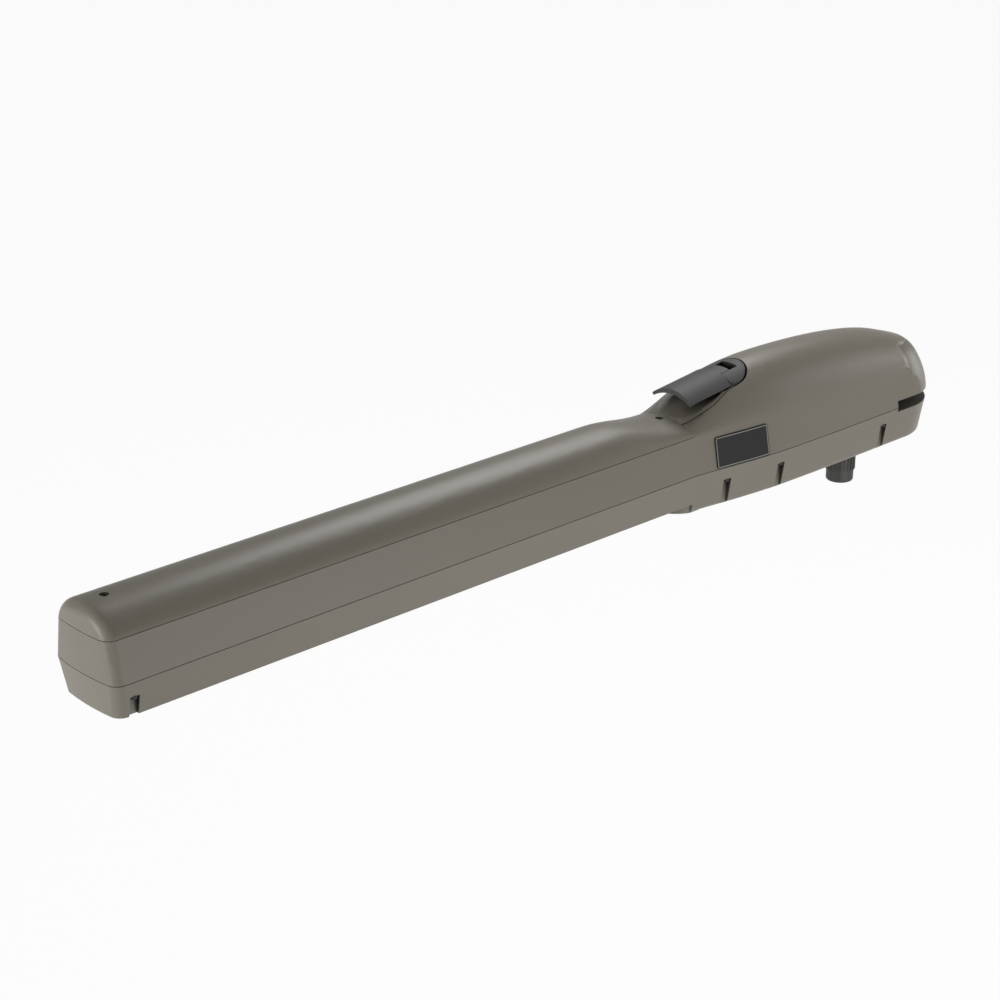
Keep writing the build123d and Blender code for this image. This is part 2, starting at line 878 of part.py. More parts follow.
def lead_screw():
    """Drive screw with its journals and the hexagon that the collar slides on."""
    front = front_block_x + front_block_length
    bearing_end = case_front_x + bearing_width
    hex_end = gear_front_x - dog_height - sliding
    shaft = rod_x(front_block_x + 1, front + 2, 0, 0, front_journal_r)
    shaft += rod_x(front + 2, case_front_x - sliding, 0, 0, screw_r)
    shaft += rod_x(case_front_x - sliding, bearing_end, 0, 0, bearing_journal_r)
    shaft += hex_x(bearing_end, hex_end, 0, 0, hex_flats)
    shaft += rod_x(hex_end, gear_front_x + gear_width + 1, 0, 0, gear_journal_r)
    shaft += rod_x(gear_front_x + gear_width + 1, plate_rear_x + 2, 0, 0, rear_journal_r)
    ring = plate_rear_x + 0.3
    groove_cut = rod_x(ring, ring + 1, 0, 0, rear_journal_r + 1)
    return shaft - (groove_cut - rod_x(ring, ring + 1, 0, 0, rear_journal_r - 0.8))


def circlip():
    """Ring that keeps the screw in its rear bearing."""
    ring = plate_rear_x + 0.3
    clip = rod_x(ring, ring + 1, 0, 0, rear_journal_r + 1.8)
    clip -= rod_x(ring - 1, ring + 2, 0, 0, rear_journal_r - 0.8)
    return clip - box(ring - 1, ring + 2, -1.2, 1.2, 0, far)


def bearing(x, width, outer_r, inner_r):
    """Ball bearing drawn as one ring with its shield grooves."""
    ring = rod_x(x, x + width, 0, 0, outer_r) - rod_x(x - 1, x + width + 1, 0, 0, inner_r)
    shield = rod_x(x - 1, x + 0.6, 0, 0, outer_r - 1.8) - rod_x(x - 2, x + 1, 0, 0, inner_r + 1.8)
    ring -= shield
    return ring - Pos(width + 0.4, 0, 0) * shield


def dogs(x0, x1, outer_r, turn):
    """The teeth of the dog clutch on one side."""
    ring = rod_x(x0, x1, 0, 0, outer_r) - rod_x(x0 - 1, x1 + 1, 0, 0, dog_inner_r)
    pitch = 360 / dog_count
    span = pitch / 2 - 4
    wedge = Polyline(
        (0, 0),
        (far * math.cos(math.radians(-span / 2)), far * math.sin(math.radians(-span / 2))),
        (far * math.cos(math.radians(span / 2)), far * math.sin(math.radians(span / 2))),
        close=True,
    )
    wedges = [
        extrude(across(x0 - 1) * (Rot(0, 0, turn + i * pitch) * make_face(wedge)), x1 - x0 + 2,
                dir=(1, 0, 0))
        for i in range(dog_count)
    ]
    return ring & (wedges[0] + wedges[1] + wedges[2] + wedges[3])


def clutch_collar():
    """Sliding collar that locks the gear to the screw."""
    x0 = collar_x()
    x1 = x0 + collar_length
    collar = rod_x(x0, x1, 0, 0, collar_r)
    middle = (x0 + x1) / 2
    cut = rod_x(middle - groove_width / 2, middle + groove_width / 2, 0, 0, collar_r + 1)
    cut -= rod_x(middle - groove_width / 2, middle + groove_width / 2, 0, 0, groove_r)
    collar -= cut
    collar += dogs(x1 - 0.01, x1 + dog_height, collar_r, 0)
    return collar - hex_x(x0 - 1, x1 + dog_height + 1, 0, 0, hex_flats + 2 * running)


def clutch_spring():
    """Coil spring between the bearing and the collar."""
    start = case_front_x + bearing_width + spring_wire_r + 0.1
    end = collar_x() - spring_wire_r - 0.1
    radius = bearing_journal_r + spring_wire_r + 0.8
    path = Helix((end - start) / spring_turns, end - start, radius)
    section = Plane(path @ 0, z_dir=path % 0) * Circle(spring_wire_r)
    coil = sweep(section, path=path)
    return Pos(start, 0, 0) * Rot(0, 90, 0) * coil


def tooth_face(teeth):
    """One involute tooth and its root, drawn about the gear's centre."""
    pitch_r = module_mm * teeth / 2
    tip_r = pitch_r + module_mm
    root_r = pitch_r - 1.25 * module_mm
    base_r = pitch_r * math.cos(math.radians(pressure_angle))
    start_r = max(base_r, root_r)
    pitch_roll = math.sqrt((pitch_r / base_r) ** 2 - 1)
    half_angle = math.pi / (2 * teeth) - tooth_backlash / (2 * pitch_r)
    offset = half_angle + pitch_roll - math.atan(pitch_roll)
    steps = 4
    flank = []
    for i in range(steps + 1):
        r = start_r + (tip_r - start_r) * i / steps
        roll = math.sqrt(max((r / base_r) ** 2 - 1, 0))
        angle = offset - (roll - math.atan(roll))
        flank.append((r * math.cos(angle), r * math.sin(angle)))
    foot_angle = math.atan2(flank[0][1], flank[0][0])
    inner = root_r - module_mm
    foot = (inner * math.cos(foot_angle), inner * math.sin(foot_angle))
    mirrored = [(x, -y) for x, y in flank]
    return make_face([
        Line((foot[0], -foot[1]), mirrored[0]),
        Spline(mirrored),
        Line(mirrored[-1], flank[-1]),
        Spline(flank[::-1]),
        Line(flank[0], foot),
        Line(foot, (foot[0], -foot[1])),
    ])


def spur_gear(teeth, x0, width, z, turn):
    """A spur gear across the arm with one tooth turned to a given angle."""
    root_r = module_mm * (teeth / 2 - 1.25)
    tooth = tooth_face(teeth)
    gear = Circle(root_r)
    for i in range(teeth):
        gear += Rot(0, 0, turn + 360 * i / teeth) * tooth
    return extrude(across(x0) * (Pos(0, z) * gear), width, dir=(1, 0, 0))


def output_gear():
    """Large gear that runs free on the screw until the collar engages it."""
    gear = spur_gear(gear_teeth, gear_front_x, gear_width, 0, 90)
    web = rod_x(gear_front_x + 7, gear_front_x + gear_width + 1, 0, 0, 23)
    web -= rod_x(gear_front_x + 6, gear_front_x + gear_width + 2, 0, 0, 12)
    gear -= web
    gear += dogs(gear_front_x - dog_height, gear_front_x + 0.01, collar_r, 180 / dog_count)
    return gear - rod_x(gear_front_x - 10, gear_front_x + gear_width + 1, 0, 0, gear_journal_r + running)


def motor_pinion():
    """Pinion on the motor shaft."""
    x0 = gear_front_x - (pinion_width - gear_width) / 2
    turn = -90 + 180 / pinion_teeth
    pinion = spur_gear(pinion_teeth, x0, pinion_width, centre_distance, turn)
    return pinion - rod_x(x0 - 1, x0 + pinion_width + 1, 0, centre_distance, motor_shaft_r)


def motor_shaft():
    """Shaft of the motor, which carries the pinion."""
    x0 = gear_front_x - (pinion_width - gear_width) / 2
    return rod_x(x0, plate_rear_x + 10, 0, centre_distance, motor_shaft_r)


def case_profile(x0, x1, radius, tower_half):
    """Round gear case with the tower for the pinion."""
    drum = rod_x(x0, x1, 0, 0, radius)
    tower_x = max(x0, tower_front_x)
    tower =rod_x(tower_x, x1, 0, centre_distance, tower_half)
    tower += box(tower_x, x1, -tower_half, tower_half, 0, centre_distance)
    return drum + tower


def gearbox_case():
    """Die-cast case round the clutch and gears."""
    tower_half = module_mm * (pinion_teeth + 2) / 2 + 1.05 + case_wall
    case = case_profile(case_front_x, case_rear_x, case_r, tower_half)
    case += box(case_front_x, case_front_x + 6, -beam_half, beam_half, beam_low_z + 0.5, beam_top_z)
    inner = rod_x(case_front_x + case_floor, case_rear_x + 1, 0, 0, case_r - case_wall)
    tower_in = tower_front_x + case_wall
    inner_half = tower_half - case_wall
    inner += rod_x(tower_in, case_rear_x + 1, 0, centre_distance, inner_half)
    inner += box(tower_in, case_rear_x + 1, -inner_half, inner_half, 0, centre_distance)
    case -= inner
    case += rod_x(case_front_x, case_front_x + bearing_width, 0, 0, bearing_r + 4)
    case -= rod_x(case_front_x - 1, case_front_x + bearing_width + 1, 0, 0, bearing_r)
    fork = fork_x()
    slot_rear = fork + fork_thickness + 1.3
    slot_front = fork - release_travel - 1.3
    return case - box(slot_front, slot_rear, -fork_half - 1, fork_half + 1, 15, far)


def gearbox_cover():
    """Rear plate of the gear case: carries the motor, the rear bearing and the tie bars."""
    tower_half = module_mm * (pinion_teeth + 2) / 2 + 1.05 + case_wall
    plate = case_profile(case_rear_x, plate_rear_x, case_r, tower_half)
    ear = box(case_rear_x, plate_rear_x, 0, tie_y, tie_z - 9, tie_z + 9)
    ear += rod_x(case_rear_x, plate_rear_x, tie_y, tie_z, 9)
    plate += both_sides(ear)
    plate -= rod_x(case_rear_x - 1, plate_rear_x + 1, 0, centre_distance, motor_pilot_r)
    plate -= rod_x(case_rear_x - 1, plate_rear_x + 1, 0, 0, rear_journal_r + 1.5)
    seat_x = plate_rear_x - rear_bearing_width
    plate -= rod_x(seat_x, plate_rear_x + 1, 0, 0, rear_bearing_r)
    return plate - both_sides(rod_x(case_rear_x + 1, plate_rear_x + 1, tie_y, tie_z, tie_r))


# Shift fork and stirrup
def fork_x():
    """Front face of the shift fork with the clutch engaged."""
    return collar_x() + collar_length / 2 - fork_thickness / 2


def shift_fork():
    """Forked plate that straddles the clutch collar."""
    x0 = fork_x()
    plate = box(x0, x0 + fork_thickness, -fork_half, fork_half, -10, stirrup_high_z)
    plate -= rod_x(x0 - 1, x0 + fork_thickness + 1, 0, 0, groove_r + sliding)
    plate -= box(x0 - 1, x0 + fork_thickness + 1, -groove_r - sliding, groove_r + sliding, -far, 0)
    corners = plate.edges().filter_by(Axis.X).group_by(Axis.Z)[-1]
    return fillet(corners, 3)


def release_stirrup():
    """Bracket that carries the lever's pull over the pinion tower to the fork."""
    x0 = fork_x() + fork_thickness
    side = box(x0, post_x + post_thickness, stirrup_gap, fork_half, stirrup_low_z, stirrup_high_z)
    side += box(post_x, post_x + post_thickness, stirrup_gap, fork_half, stirrup_low_z, post_low_z + 5)
    bracket = both_sides(side)
    bracket += box(post_x, post_x + post_thickness, -fork_half, fork_half, post_low_z, post_low_z + 5)
    bracket += box(post_x, post_x + post_thickness, -post_half, post_half, post_low_z, arm_high_z)
    end = hinge_x - cam_half - sliding
    return bracket + box(post_x, end, -post_half, post_half, arm_low_z, arm_high_z)


# Motor and electrics
def motor_can():
    """Drawn steel can of the direct current motor."""
    z = centre_distance
    can = rod_x(plate_rear_x, plate_rear_x + motor_length, 0, z, motor_r)
    rear = can.edges().group_by(Axis.X)[-1]
    can = fillet(rear, 3)
    can += rod_x(case_rear_x + 3, plate_rear_x, 0, z, motor_pilot_r)
    return can - rod_x(case_rear_x, plate_rear_x + 10.5, 0, z, motor_shaft_r + running)


def motor_end_bell():
    """Rear bell of the motor, with its brush holders and board posts."""
    x0 = plate_rear_x + motor_length
    x1 = x0 + end_bell_length
    z = centre_distance
    bell = rod_x(x0, x1, 0, z, end_bell_r)
    bell = fillet(bell.edges().group_by(Axis.X)[-1], 4)
    bell += both_sides(rod_y(x0 + 6, end_bell_r - 3, end_bell_r + 2.5, z, 4))
    return bell + both_sides(rod_x(x1 - 1, x1 + 3, 12, z, 2.5))


def encoder_board():
    """Small circuit board that counts the turns of the motor."""
    x0 = plate_rear_x + motor_length + end_bell_length + 3
    board = box(x0, x0 + 1.6, -18, 18, centre_distance - 14, centre_distance + 14)
    return board + box(x0 + 1.6, x0 + 8, -9, 9, centre_distance - 10, centre_distance - 2)


def terminal_bracket():
    """Plate across the tie bars that carries the terminal block."""
    low = tie_z + tie_r
    return box(gland_x - 60, gland_x - 10, -tie_y - 3, tie_y + 3, low, low + 2)


def terminal_block():
    """Screw terminal strip for the supply and encoder wires."""
    low = tie_z + tie_r + 2
    block = box(gland_x - 50, gland_x - 20, -24, 24, low, low + 10)
    block += box(gland_x - 44, gland_x - 26, -24, 24, low + 10, low + 18)
    for i in range(6):
        y = -20 + 8 * i
        block -= rod(gland_x - 35, y, low + 12, low + 20, 2.6)
        block -= box(gland_x - 51, gland_x - 40, y - 2.4, y + 2.4, low + 2, low + 7)
    return block


def tie_bars():
    """Steel bars that pull the tail fork to the gearbox."""
    end = yoke_rear_x + tie_nut + 1
    bar = rod_x(case_rear_x + 1, end, tie_y, tie_z, tie_r)
    return [bar, mirror(bar, Plane.XZ)]


def tie_nuts():
    """Nuts on the tie bars behind the yoke."""
    nut = hex_x(yoke_rear_x, yoke_rear_x + tie_nut, tie_y, tie_z, tie_nut_flats)
    nut -= rod_x(yoke_rear_x - 1, yoke_rear_x + tie_nut + 1, tie_y, tie_z, tie_r)
    return [nut, mirror(nut, Plane.XZ)]


# Tail
def tail_fork():
    """Cast yoke with two ears for the rear pivot pin."""
    yoke = box(yoke_front_x, yoke_rear_x, -yoke_half, yoke_half, tie_z - 9, ear_high_z)
    yoke = chamfer(yoke.edges().filter_by(Axis.X), 5)
    ear = box(yoke_rear_x - 1, 0, -ear_radius, ear_radius, ear_low_z, ear_high_z)
    ear += rod(0, 0, ear_low_z, ear_high_z, ear_radius)
    fork = yoke + ear + mirror(ear, Plane.XY)
    fork -= rod(0, 0, -far / 4, far / 4, pivot_bore_r + pivot_bush_wall)
    return fork - both_sides(rod_x(yoke_front_x - 1, yoke_rear_x + 1, tie_y, tie_z, tie_r))


def pivot_bushes():
    """Flanged bushes in the two ears, bored for the pivot pin."""
    low = slot_height / 2
    bush = rod(0, 0, ear_low_z, ear_high_z, pivot_bore_r + pivot_bush_wall)
    bush += rod(0, 0, low, ear_low_z, pivot_flange_r)
    bush -= rod(0, 0, low - 1, ear_high_z + 1, pivot_bore_r)
    return [bush, mirror(bush, Plane.XY)]


# Cable gland under the housing
def gland_body():
    """Threaded body of the cable gland with its ribbed collar."""
    collar = rod(gland_x, gland_y, belly_z - gland_collar, belly_z, gland_collar_r - 0.6)
    ribs = 24
    for i in range(ribs):
        angle = 2 * math.pi * i / ribs
        x = gland_x + (gland_collar_r - 0.6) * math.cos(angle)
        y = gland_y + (gland_collar_r - 0.6) * math.sin(angle)
        collar += Pos(x, y, belly_z - gland_collar / 2) * Rot(0, 0, math.degrees(angle)) * Box(
            1.6, 1.8, gland_collar - 3)
    collar += rod(gland_x, gland_y, belly_z, belly_z + wall + 9, gland_stem_r)
    return collar - rod(gland_x, gland_y, belly_z - far, belly_z + far, gland_bore_r)


def gland_nut_piece():
    """Dome nut at the mouth of the gland."""
    top = belly_z - gland_collar
    nut = rod(gland_x, gland_y, top - gland_nut, top, gland_nut_r)
    nut = fillet(nut.edges().group_by(Axis.Z)[0], 2.5)
    return nut - rod(gland_x, gland_y, top - gland_nut - 1, top + 1, gland_bore_r)


def cable_seal_ring():
    """Rubber seal in the gland, bored for the supply cable."""
    middle = belly_z - gland_collar
    low = middle - cable_seal / 2
    ring = rod(gland_x, gland_y, low, low + cable_seal, gland_bore_r)
    return ring - rod(gland_x, gland_y, low - 1, low + cable_seal + 1, cable_seal_r)


def gland_locknut():
    """Locknut inside the belly."""
    low = belly_z + wall
    face = Pos(gland_x, gland_y, low) * RegularPolygon(15, 6, major_radius=False)
    return extrude(face, 5) - rod(gland_x, gland_y, low - 1, low + 6, gland_stem_r)


def save(shape, name):
    """Write one sub-part, which may be a group of separate solids."""
    if isinstance(shape, list):
        shape = Compound(children=[piece.solid() for piece in shape])
    export_step(shape, f"parts/{name}.step")


def casing():
    """All the pieces that are cut from the casing forms."""
    rim = seam_depth
    upper = [arm_upper(i) for i in (0, wall, rim)]
    lower = [arm_lower(i) for i in (0, wall)]
    house_low = [housing_lower(i) for i in (0, wall)]
    house_high = [housing_upper(i) for i in (0, wall, rim)]
    lip, lip_in = arm_upper(wall + seat), arm_upper(wall + seat + lip_wall)
    return {
        "lower_shell": lower_shell(*lower, *house_low),
        "upper_shell": upper_shell(*upper, *house_high),
        "top_cover": top_cover(*upper, lip, lip_in),
        "nameplate": nameplate(housing_upper(-plate_thickness), house_high[0]),
        "lever_base": lever_base(house_high[0]),
        "release_lever": release_lever(house_high[0]),
    }


def drive():
    """All the pieces of the drive and its fasteners."""
    return {
        "cover_screws": cover_screws(),
        "cover_posts": cover_posts(),
        "shell_screws": shell_screws(),
        "lever_pin": lever_pin(),
        "lock_barrel": lock_barrel(),
        "guide_beam": guide_beam(),
        "front_block": front_block(),
        "front_bush": front_bush(),
        "travel_stops": travel_stops(),
        "stop_bumpers": stop_bumpers(),
        "brush_seals": brush_seals(),
        "carriage_body": carriage_body(),
        "drive_nut": drive_nut(),
        "nut_screws": nut_screws(),
        "slide_pads": slide_pads(),
        "front_pivot_bush": front_pivot_bush(),
        "lead_screw": lead_screw(),
        "circlip": circlip(),
        "screw_bearing": bearing(case_front_x, bearing_width, bearing_r, bearing_journal_r + running),
        "rear_bearing": bearing(plate_rear_x - rear_bearing_width, rear_bearing_width, rear_bearing_r,
                                rear_journal_r + running),
        "clutch_collar": clutch_collar(),
        "clutch_spring": clutch_spring(),
        "output_gear": output_gear(),
        "motor_pinion": motor_pinion(),
        "motor_shaft": motor_shaft(),
        "gearbox_case": gearbox_case(),
        "gearbox_cover": gearbox_cover(),
        "shift_fork": shift_fork(),
        "release_stirrup": release_stirrup(),
        "motor_can": motor_can(),
        "motor_end_bell": motor_end_bell(),
        "encoder_board": encoder_board(),
        "terminal_bracket": terminal_bracket(),
        "terminal_block": terminal_block(),
        "tie_bars": tie_bars(),
        "tie_nuts": tie_nuts(),
        "tail_fork": tail_fork(),
        "pivot_bushes": pivot_bushes(),
        "gland_body": gland_body(),
        "gland_nut": gland_nut_piece(),
        "cable_seal": cable_seal_ring(),
        "gland_locknut": gland_locknut(),
    }


os.makedirs("parts", exist_ok=True)
for name, shape in {**casing(), **drive()}.items():
    save(shape, name)
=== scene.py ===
"""Finishes, fine pieces, studio and camera of a linear swing gate opener, in metres."""

import json
import logging
import math
from dataclasses import dataclass, field
from enum import Enum
from typing import Callable, Iterable

import bpy
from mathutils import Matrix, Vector


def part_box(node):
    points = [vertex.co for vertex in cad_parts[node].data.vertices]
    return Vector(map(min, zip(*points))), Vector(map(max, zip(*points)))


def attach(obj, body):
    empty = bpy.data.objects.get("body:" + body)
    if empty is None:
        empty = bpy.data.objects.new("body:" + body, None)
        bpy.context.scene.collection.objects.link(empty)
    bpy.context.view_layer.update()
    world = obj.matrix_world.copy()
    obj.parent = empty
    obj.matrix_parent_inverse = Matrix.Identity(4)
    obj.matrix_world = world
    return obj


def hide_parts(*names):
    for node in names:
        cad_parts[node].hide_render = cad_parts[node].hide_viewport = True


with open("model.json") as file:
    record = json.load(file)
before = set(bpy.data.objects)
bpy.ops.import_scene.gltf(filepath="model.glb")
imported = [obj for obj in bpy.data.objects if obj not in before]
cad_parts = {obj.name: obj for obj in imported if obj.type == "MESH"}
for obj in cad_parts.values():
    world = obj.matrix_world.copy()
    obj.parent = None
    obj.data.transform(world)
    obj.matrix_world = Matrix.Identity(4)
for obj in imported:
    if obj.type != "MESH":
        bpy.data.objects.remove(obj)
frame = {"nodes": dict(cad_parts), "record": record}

LOG = logging.getLogger("opener")
MERGE_REACH = 2e-6
Color = tuple[float, float, float]
Place = tuple[float, float, float]


class Body(Enum):
    """The bodies of the moving model that new pieces ride on."""

    CASING = "casing"
    TRAVELLER = "traveller"
    SCREW = "screw"
    LEVER = "lever"


class Pick(Enum):
    """What is selected in edit mode."""

    POINTS = "VERT"
    EDGES = "EDGE"
    FACES = "FACE"


# Small helpers for edit-mode modelling


def deselect_all() -> None:
    """Leaves edit mode and clears the selection."""
    if bpy.context.object is not None and bpy.context.object.mode != "OBJECT":
        bpy.ops.object.mode_set(mode="OBJECT")
    bpy.ops.object.select_all(action="DESELECT")


def make_active(piece: bpy.types.Object) -> None:
    """Selects one piece alone and makes it active.

    Args:
        piece: The piece.
    """
    deselect_all()
    piece.select_set(True)
    bpy.context.view_layer.objects.active = piece


def edit(piece: bpy.types.Object, kind: Pick = Pick.FACES) -> None:
    """Enters edit mode on a piece with everything deselected.

    Args:
        piece: The mesh to edit.
        kind: What is selected in it.
    """
    make_active(piece)
    bpy.ops.object.mode_set(mode="EDIT")
    bpy.ops.mesh.select_mode(type=kind.value)
    bpy.ops.mesh.select_all(action="DESELECT")


def leave_edit() -> None:
    """Goes back to object mode."""
    bpy.ops.object.mode_set(mode="OBJECT")


def pick_faces(piece: bpy.types.Object, wanted: Callable[[bpy.types.MeshPolygon], bool]) -> None:
    """Selects faces of a piece by a test and enters edit mode.

    Args:
        piece: The mesh to select on.
        wanted: Test of a face by its centre or normal.
    """
    edit(piece, Pick.FACES)
    leave_edit()
    for face in piece.data.polygons:
        face.select = wanted(face)
    bpy.ops.object.mode_set(mode="EDIT")


def pick_points(piece: bpy.types.Object, wanted: Callable[[Vector], bool]) -> None:
    """Selects points of a piece by a test of their place and enters edit mode.

    Args:
        piece: The mesh to select on.
        wanted: Test of a point's place.
    """
    edit(piece, Pick.POINTS)
    leave_edit()
    for point in piece.data.vertices:
        point.select = wanted(point.co)
    bpy.ops.object.mode_set(mode="EDIT")


def settle(piece: bpy.types.Object) -> None:
    """Applies a piece's own transform, so that its place is in its mesh."""
    make_active(piece)
    bpy.ops.object.transform_apply(location=True, rotation=True, scale=True)


def smooth(piece: bpy.types.Object, angle: float, lead: int = 60) -> None:
    """Shades a piece smooth across its flatter edges.

    Args:
        piece: The mesh to shade.
        angle: The sharpest edge that is shaded across, in degrees.
        lead: How far the larger faces lead the shading.
    """
    make_active(piece)
    bpy.ops.object.shade_smooth_by_angle(angle=math.radians(angle))
    even = piece.modifiers.new("even_normals", "WEIGHTED_NORMAL")
    even.keep_sharp = True
    even.weight = lead
    bpy.ops.object.modifier_apply(modifier=even.name)


def copy_node(node: str, name: str) -> bpy.types.Object:
    """Copies a node of the frame as a new piece whose triangles are joined.

    Args:
        node: The node to copy.
        name: The name of the new piece.

    Returns:
        The new piece, not yet riding on a body.
    """
    source = frame["nodes"][node]
    piece = source.copy()
    piece.data = source.data.copy()
    piece.name = name
    piece.data.name = name
    piece.parent = None
    bpy.context.scene.collection.objects.link(piece)
    make_active(piece)
    bpy.ops.mesh.customdata_custom_splitnormals_clear()
    bpy.ops.object.mode_set(mode="EDIT")
    bpy.ops.mesh.select_all(action="SELECT")
    bpy.ops.mesh.remove_doubles(threshold=MERGE_REACH)
    leave_edit()
    return piece


def join_pieces(pieces: list[bpy.types.Object], name: str) -> bpy.types.Object:
    """Joins several pieces into one.

    Args:
        pieces: The pieces to join.
        name: The name of the result.

    Returns:
        The joined piece.
    """
    make_active(pieces[0])
    for piece in pieces:
        piece.select_set(True)
    bpy.ops.object.join()
    joined = bpy.context.object
    joined.name = name
    joined.data.name = name
    return joined


def dress(piece: bpy.types.Object, materials: Iterable[bpy.types.Material]) -> None:
    """Gives a piece its materials, in place of what it had.

    Args:
        piece: The piece.
        materials: Its materials in the order of their slots.
    """
    piece.data.materials.clear()
    for material in materials:
        piece.data.materials.append(material)


# Shader trees, and the groups that the finishes share


class Wiring:
    """The nodes of one shader tree and the links among them."""

    def __init__(self, tree: bpy.types.NodeTree) -> None:
        """Takes the tree to work in."""
        self.tree = tree

    def node(self, kind: str, **settings: object) -> bpy.types.Node:
        """Adds a node.

        Args:
            kind: The node's type.
            settings: Its settings by name.

        Returns:
            The new node.
        """
        made = self.tree.nodes.new(kind)
        for key, value in settings.items():
            setattr(made, key, value)
        return made

    def feed(self, value: object, socket: bpy.types.NodeSocket) -> None:
        """Links a socket to an input, or sets a value on it.

        Args:
            value: A socket, a number or a colour.
            socket: The input.
        """
        if isinstance(value, bpy.types.NodeSocket):
            self.tree.links.new(value, socket)
        else:
            socket.default_value = (*value, 1.0) if isinstance(value, tuple) else value

    def fed(self, made: bpy.types.Node, **values: object) -> bpy.types.Node:
        """Feeds a node's inputs by name.

        Args:
            made: The node.
            values: A socket, number or colour for each input, with _ for a space.

        Returns:
            The same node.
        """
        for key, value in values.items():
            self.feed(value, made.inputs[key.replace("_", " ")])
        return made

    def math(self, operation: str, *terms: object, clamp: bool = False) -> bpy.types.NodeSocket:
        """Adds a Math node.

        Args:
            operation: The node's operation.
            terms: Its sockets or numbers, in order.
            clamp: Whether the result is held between 0 and 1.

        Returns:
            The result.
        """
        made = self.node("ShaderNodeMath", operation=operation, use_clamp=clamp)
        for term, socket in zip(terms, made.inputs):
            self.feed(term, socket)
        return made.outputs[0]

    def mix(self, factor: object, first: object, second: object) -> bpy.types.NodeSocket:
        """Adds a colour mix.

        Args:
            factor: How much of the second colour shows.
            first: The first colour or its socket.
            second: The second colour or its socket.

        Returns:
            The mixed colour.
        """
        made = self.node("ShaderNodeMix", data_type="RGBA")
        return self.fed(made, Factor=factor, A=first, B=second).outputs["Result"]

    def blend(self, *terms: bpy.types.NodeSocket) -> bpy.types.NodeSocket:
        """Adds a shader mix of a factor and two shaders.

        Args:
            terms: The factor, the first shader and the second.

        Returns:
            The mixed shader.
        """
        made = self.node("ShaderNodeMixShader")
        for term, socket in zip(terms, made.inputs):
            self.feed(term, socket)
        return made.outputs[0]

    def noise(self, scale: object, detail: float, rough: float,
              stretch: Place = (1.0, 1.0, 1.0)) -> bpy.types.NodeSocket:
        """Adds a noise on object coordinates.

        Args:
            scale: Its scale per metre, a number or a socket.
            detail: Its detail.
            rough: Its roughness.
            stretch: The scale of each axis before the noise.

        Returns:
            The factor output.
        """
        place = self.node("ShaderNodeTexCoord")
        mapping = self.fed(self.node("ShaderNodeMapping"), Vector=place.outputs["Object"])
        mapping.inputs["Scale"].default_value = stretch
        texture = self.fed(self.node("ShaderNodeTexNoise"), Vector=mapping.outputs["Vector"],
                           Scale=scale, Detail=detail, Roughness=rough)
        return texture.outputs["Fac"]

    def bump(self, height: bpy.types.NodeSocket, depth: float) -> bpy.types.Node:
        """Adds a Bump node at full strength for a height and its depth in metres."""
        return self.fed(self.node("ShaderNodeBump"), Strength=1.0, Distance=depth, Height=height)


class Group(Wiring):
    """A shader node group under construction."""

    def __init__(self, name: str) -> None:
        """Starts an empty group with its input and output nodes.

        Args:
            name: The name of the group.
        """
        super().__init__(bpy.data.node_groups.new(name, "ShaderNodeTree"))
        self.source = self.node("NodeGroupInput")
        self.sink = self.node("NodeGroupOutput")

    def takes(self, name: str, kind: str, default: float | Color) -> None:
        """Adds a named input socket with its default."""
        socket = self.tree.interface.new_socket(name, in_out="INPUT", socket_type=kind)
        self.feed(default, socket)

    def gives(self, name: str, kind: str) -> None:
        """Adds a named output socket."""
        self.tree.interface.new_socket(name, in_out="OUTPUT", socket_type=kind)


def moulded_grain_group() -> bpy.types.ShaderNodeTree:
    """Fine spark-eroded grain of a moulding with slow drifts of shade.

    Returns:
        The group's tree.
    """
    drift_share, drift_start, mottle_share, middle = 0.9, -0.2, 0.35, 0.5
    group = Group("moulded_grain")
    group.takes("Color", "NodeSocketColor", (0.2, 0.2, 0.2))
    group.takes("Shade", "NodeSocketColor", (0.15, 0.15, 0.15))
    group.takes("Grain Scale", "NodeSocketFloat", 900.0)
    group.takes("Roughness", "NodeSocketFloat", 0.5)
    group.takes("Roughness Spread", "NodeSocketFloat", 0.1)
    group.gives("Color", "NodeSocketColor")
    group.gives("Roughness", "NodeSocketFloat")
    group.gives("Height", "NodeSocketFloat")
    given = group.source.outputs
    grain = group.noise(given["Grain Scale"], detail=3.0, rough=0.6)
    drift = group.noise(9.0, detail=2.0, rough=0.5, stretch=(0.5, 1.0, 1.0))
    mottle = group.noise(120.0, detail=4.0, rough=0.6)
    share = group.math("MULTIPLY_ADD", drift, drift_share, drift_start)
    fleck = group.math("MULTIPLY_ADD", mottle, mottle_share, share, clamp=True)
    centred = group.math("SUBTRACT", grain, middle)
    spread = group.math("MULTIPLY_ADD", centred, given["Roughness Spread"], given["Roughness"])
    color = group.mix(fleck, given["Color"], given["Shade"])
    group.fed(group.sink, Color=color, Roughness=spread, Height=grain)
    return group.tree


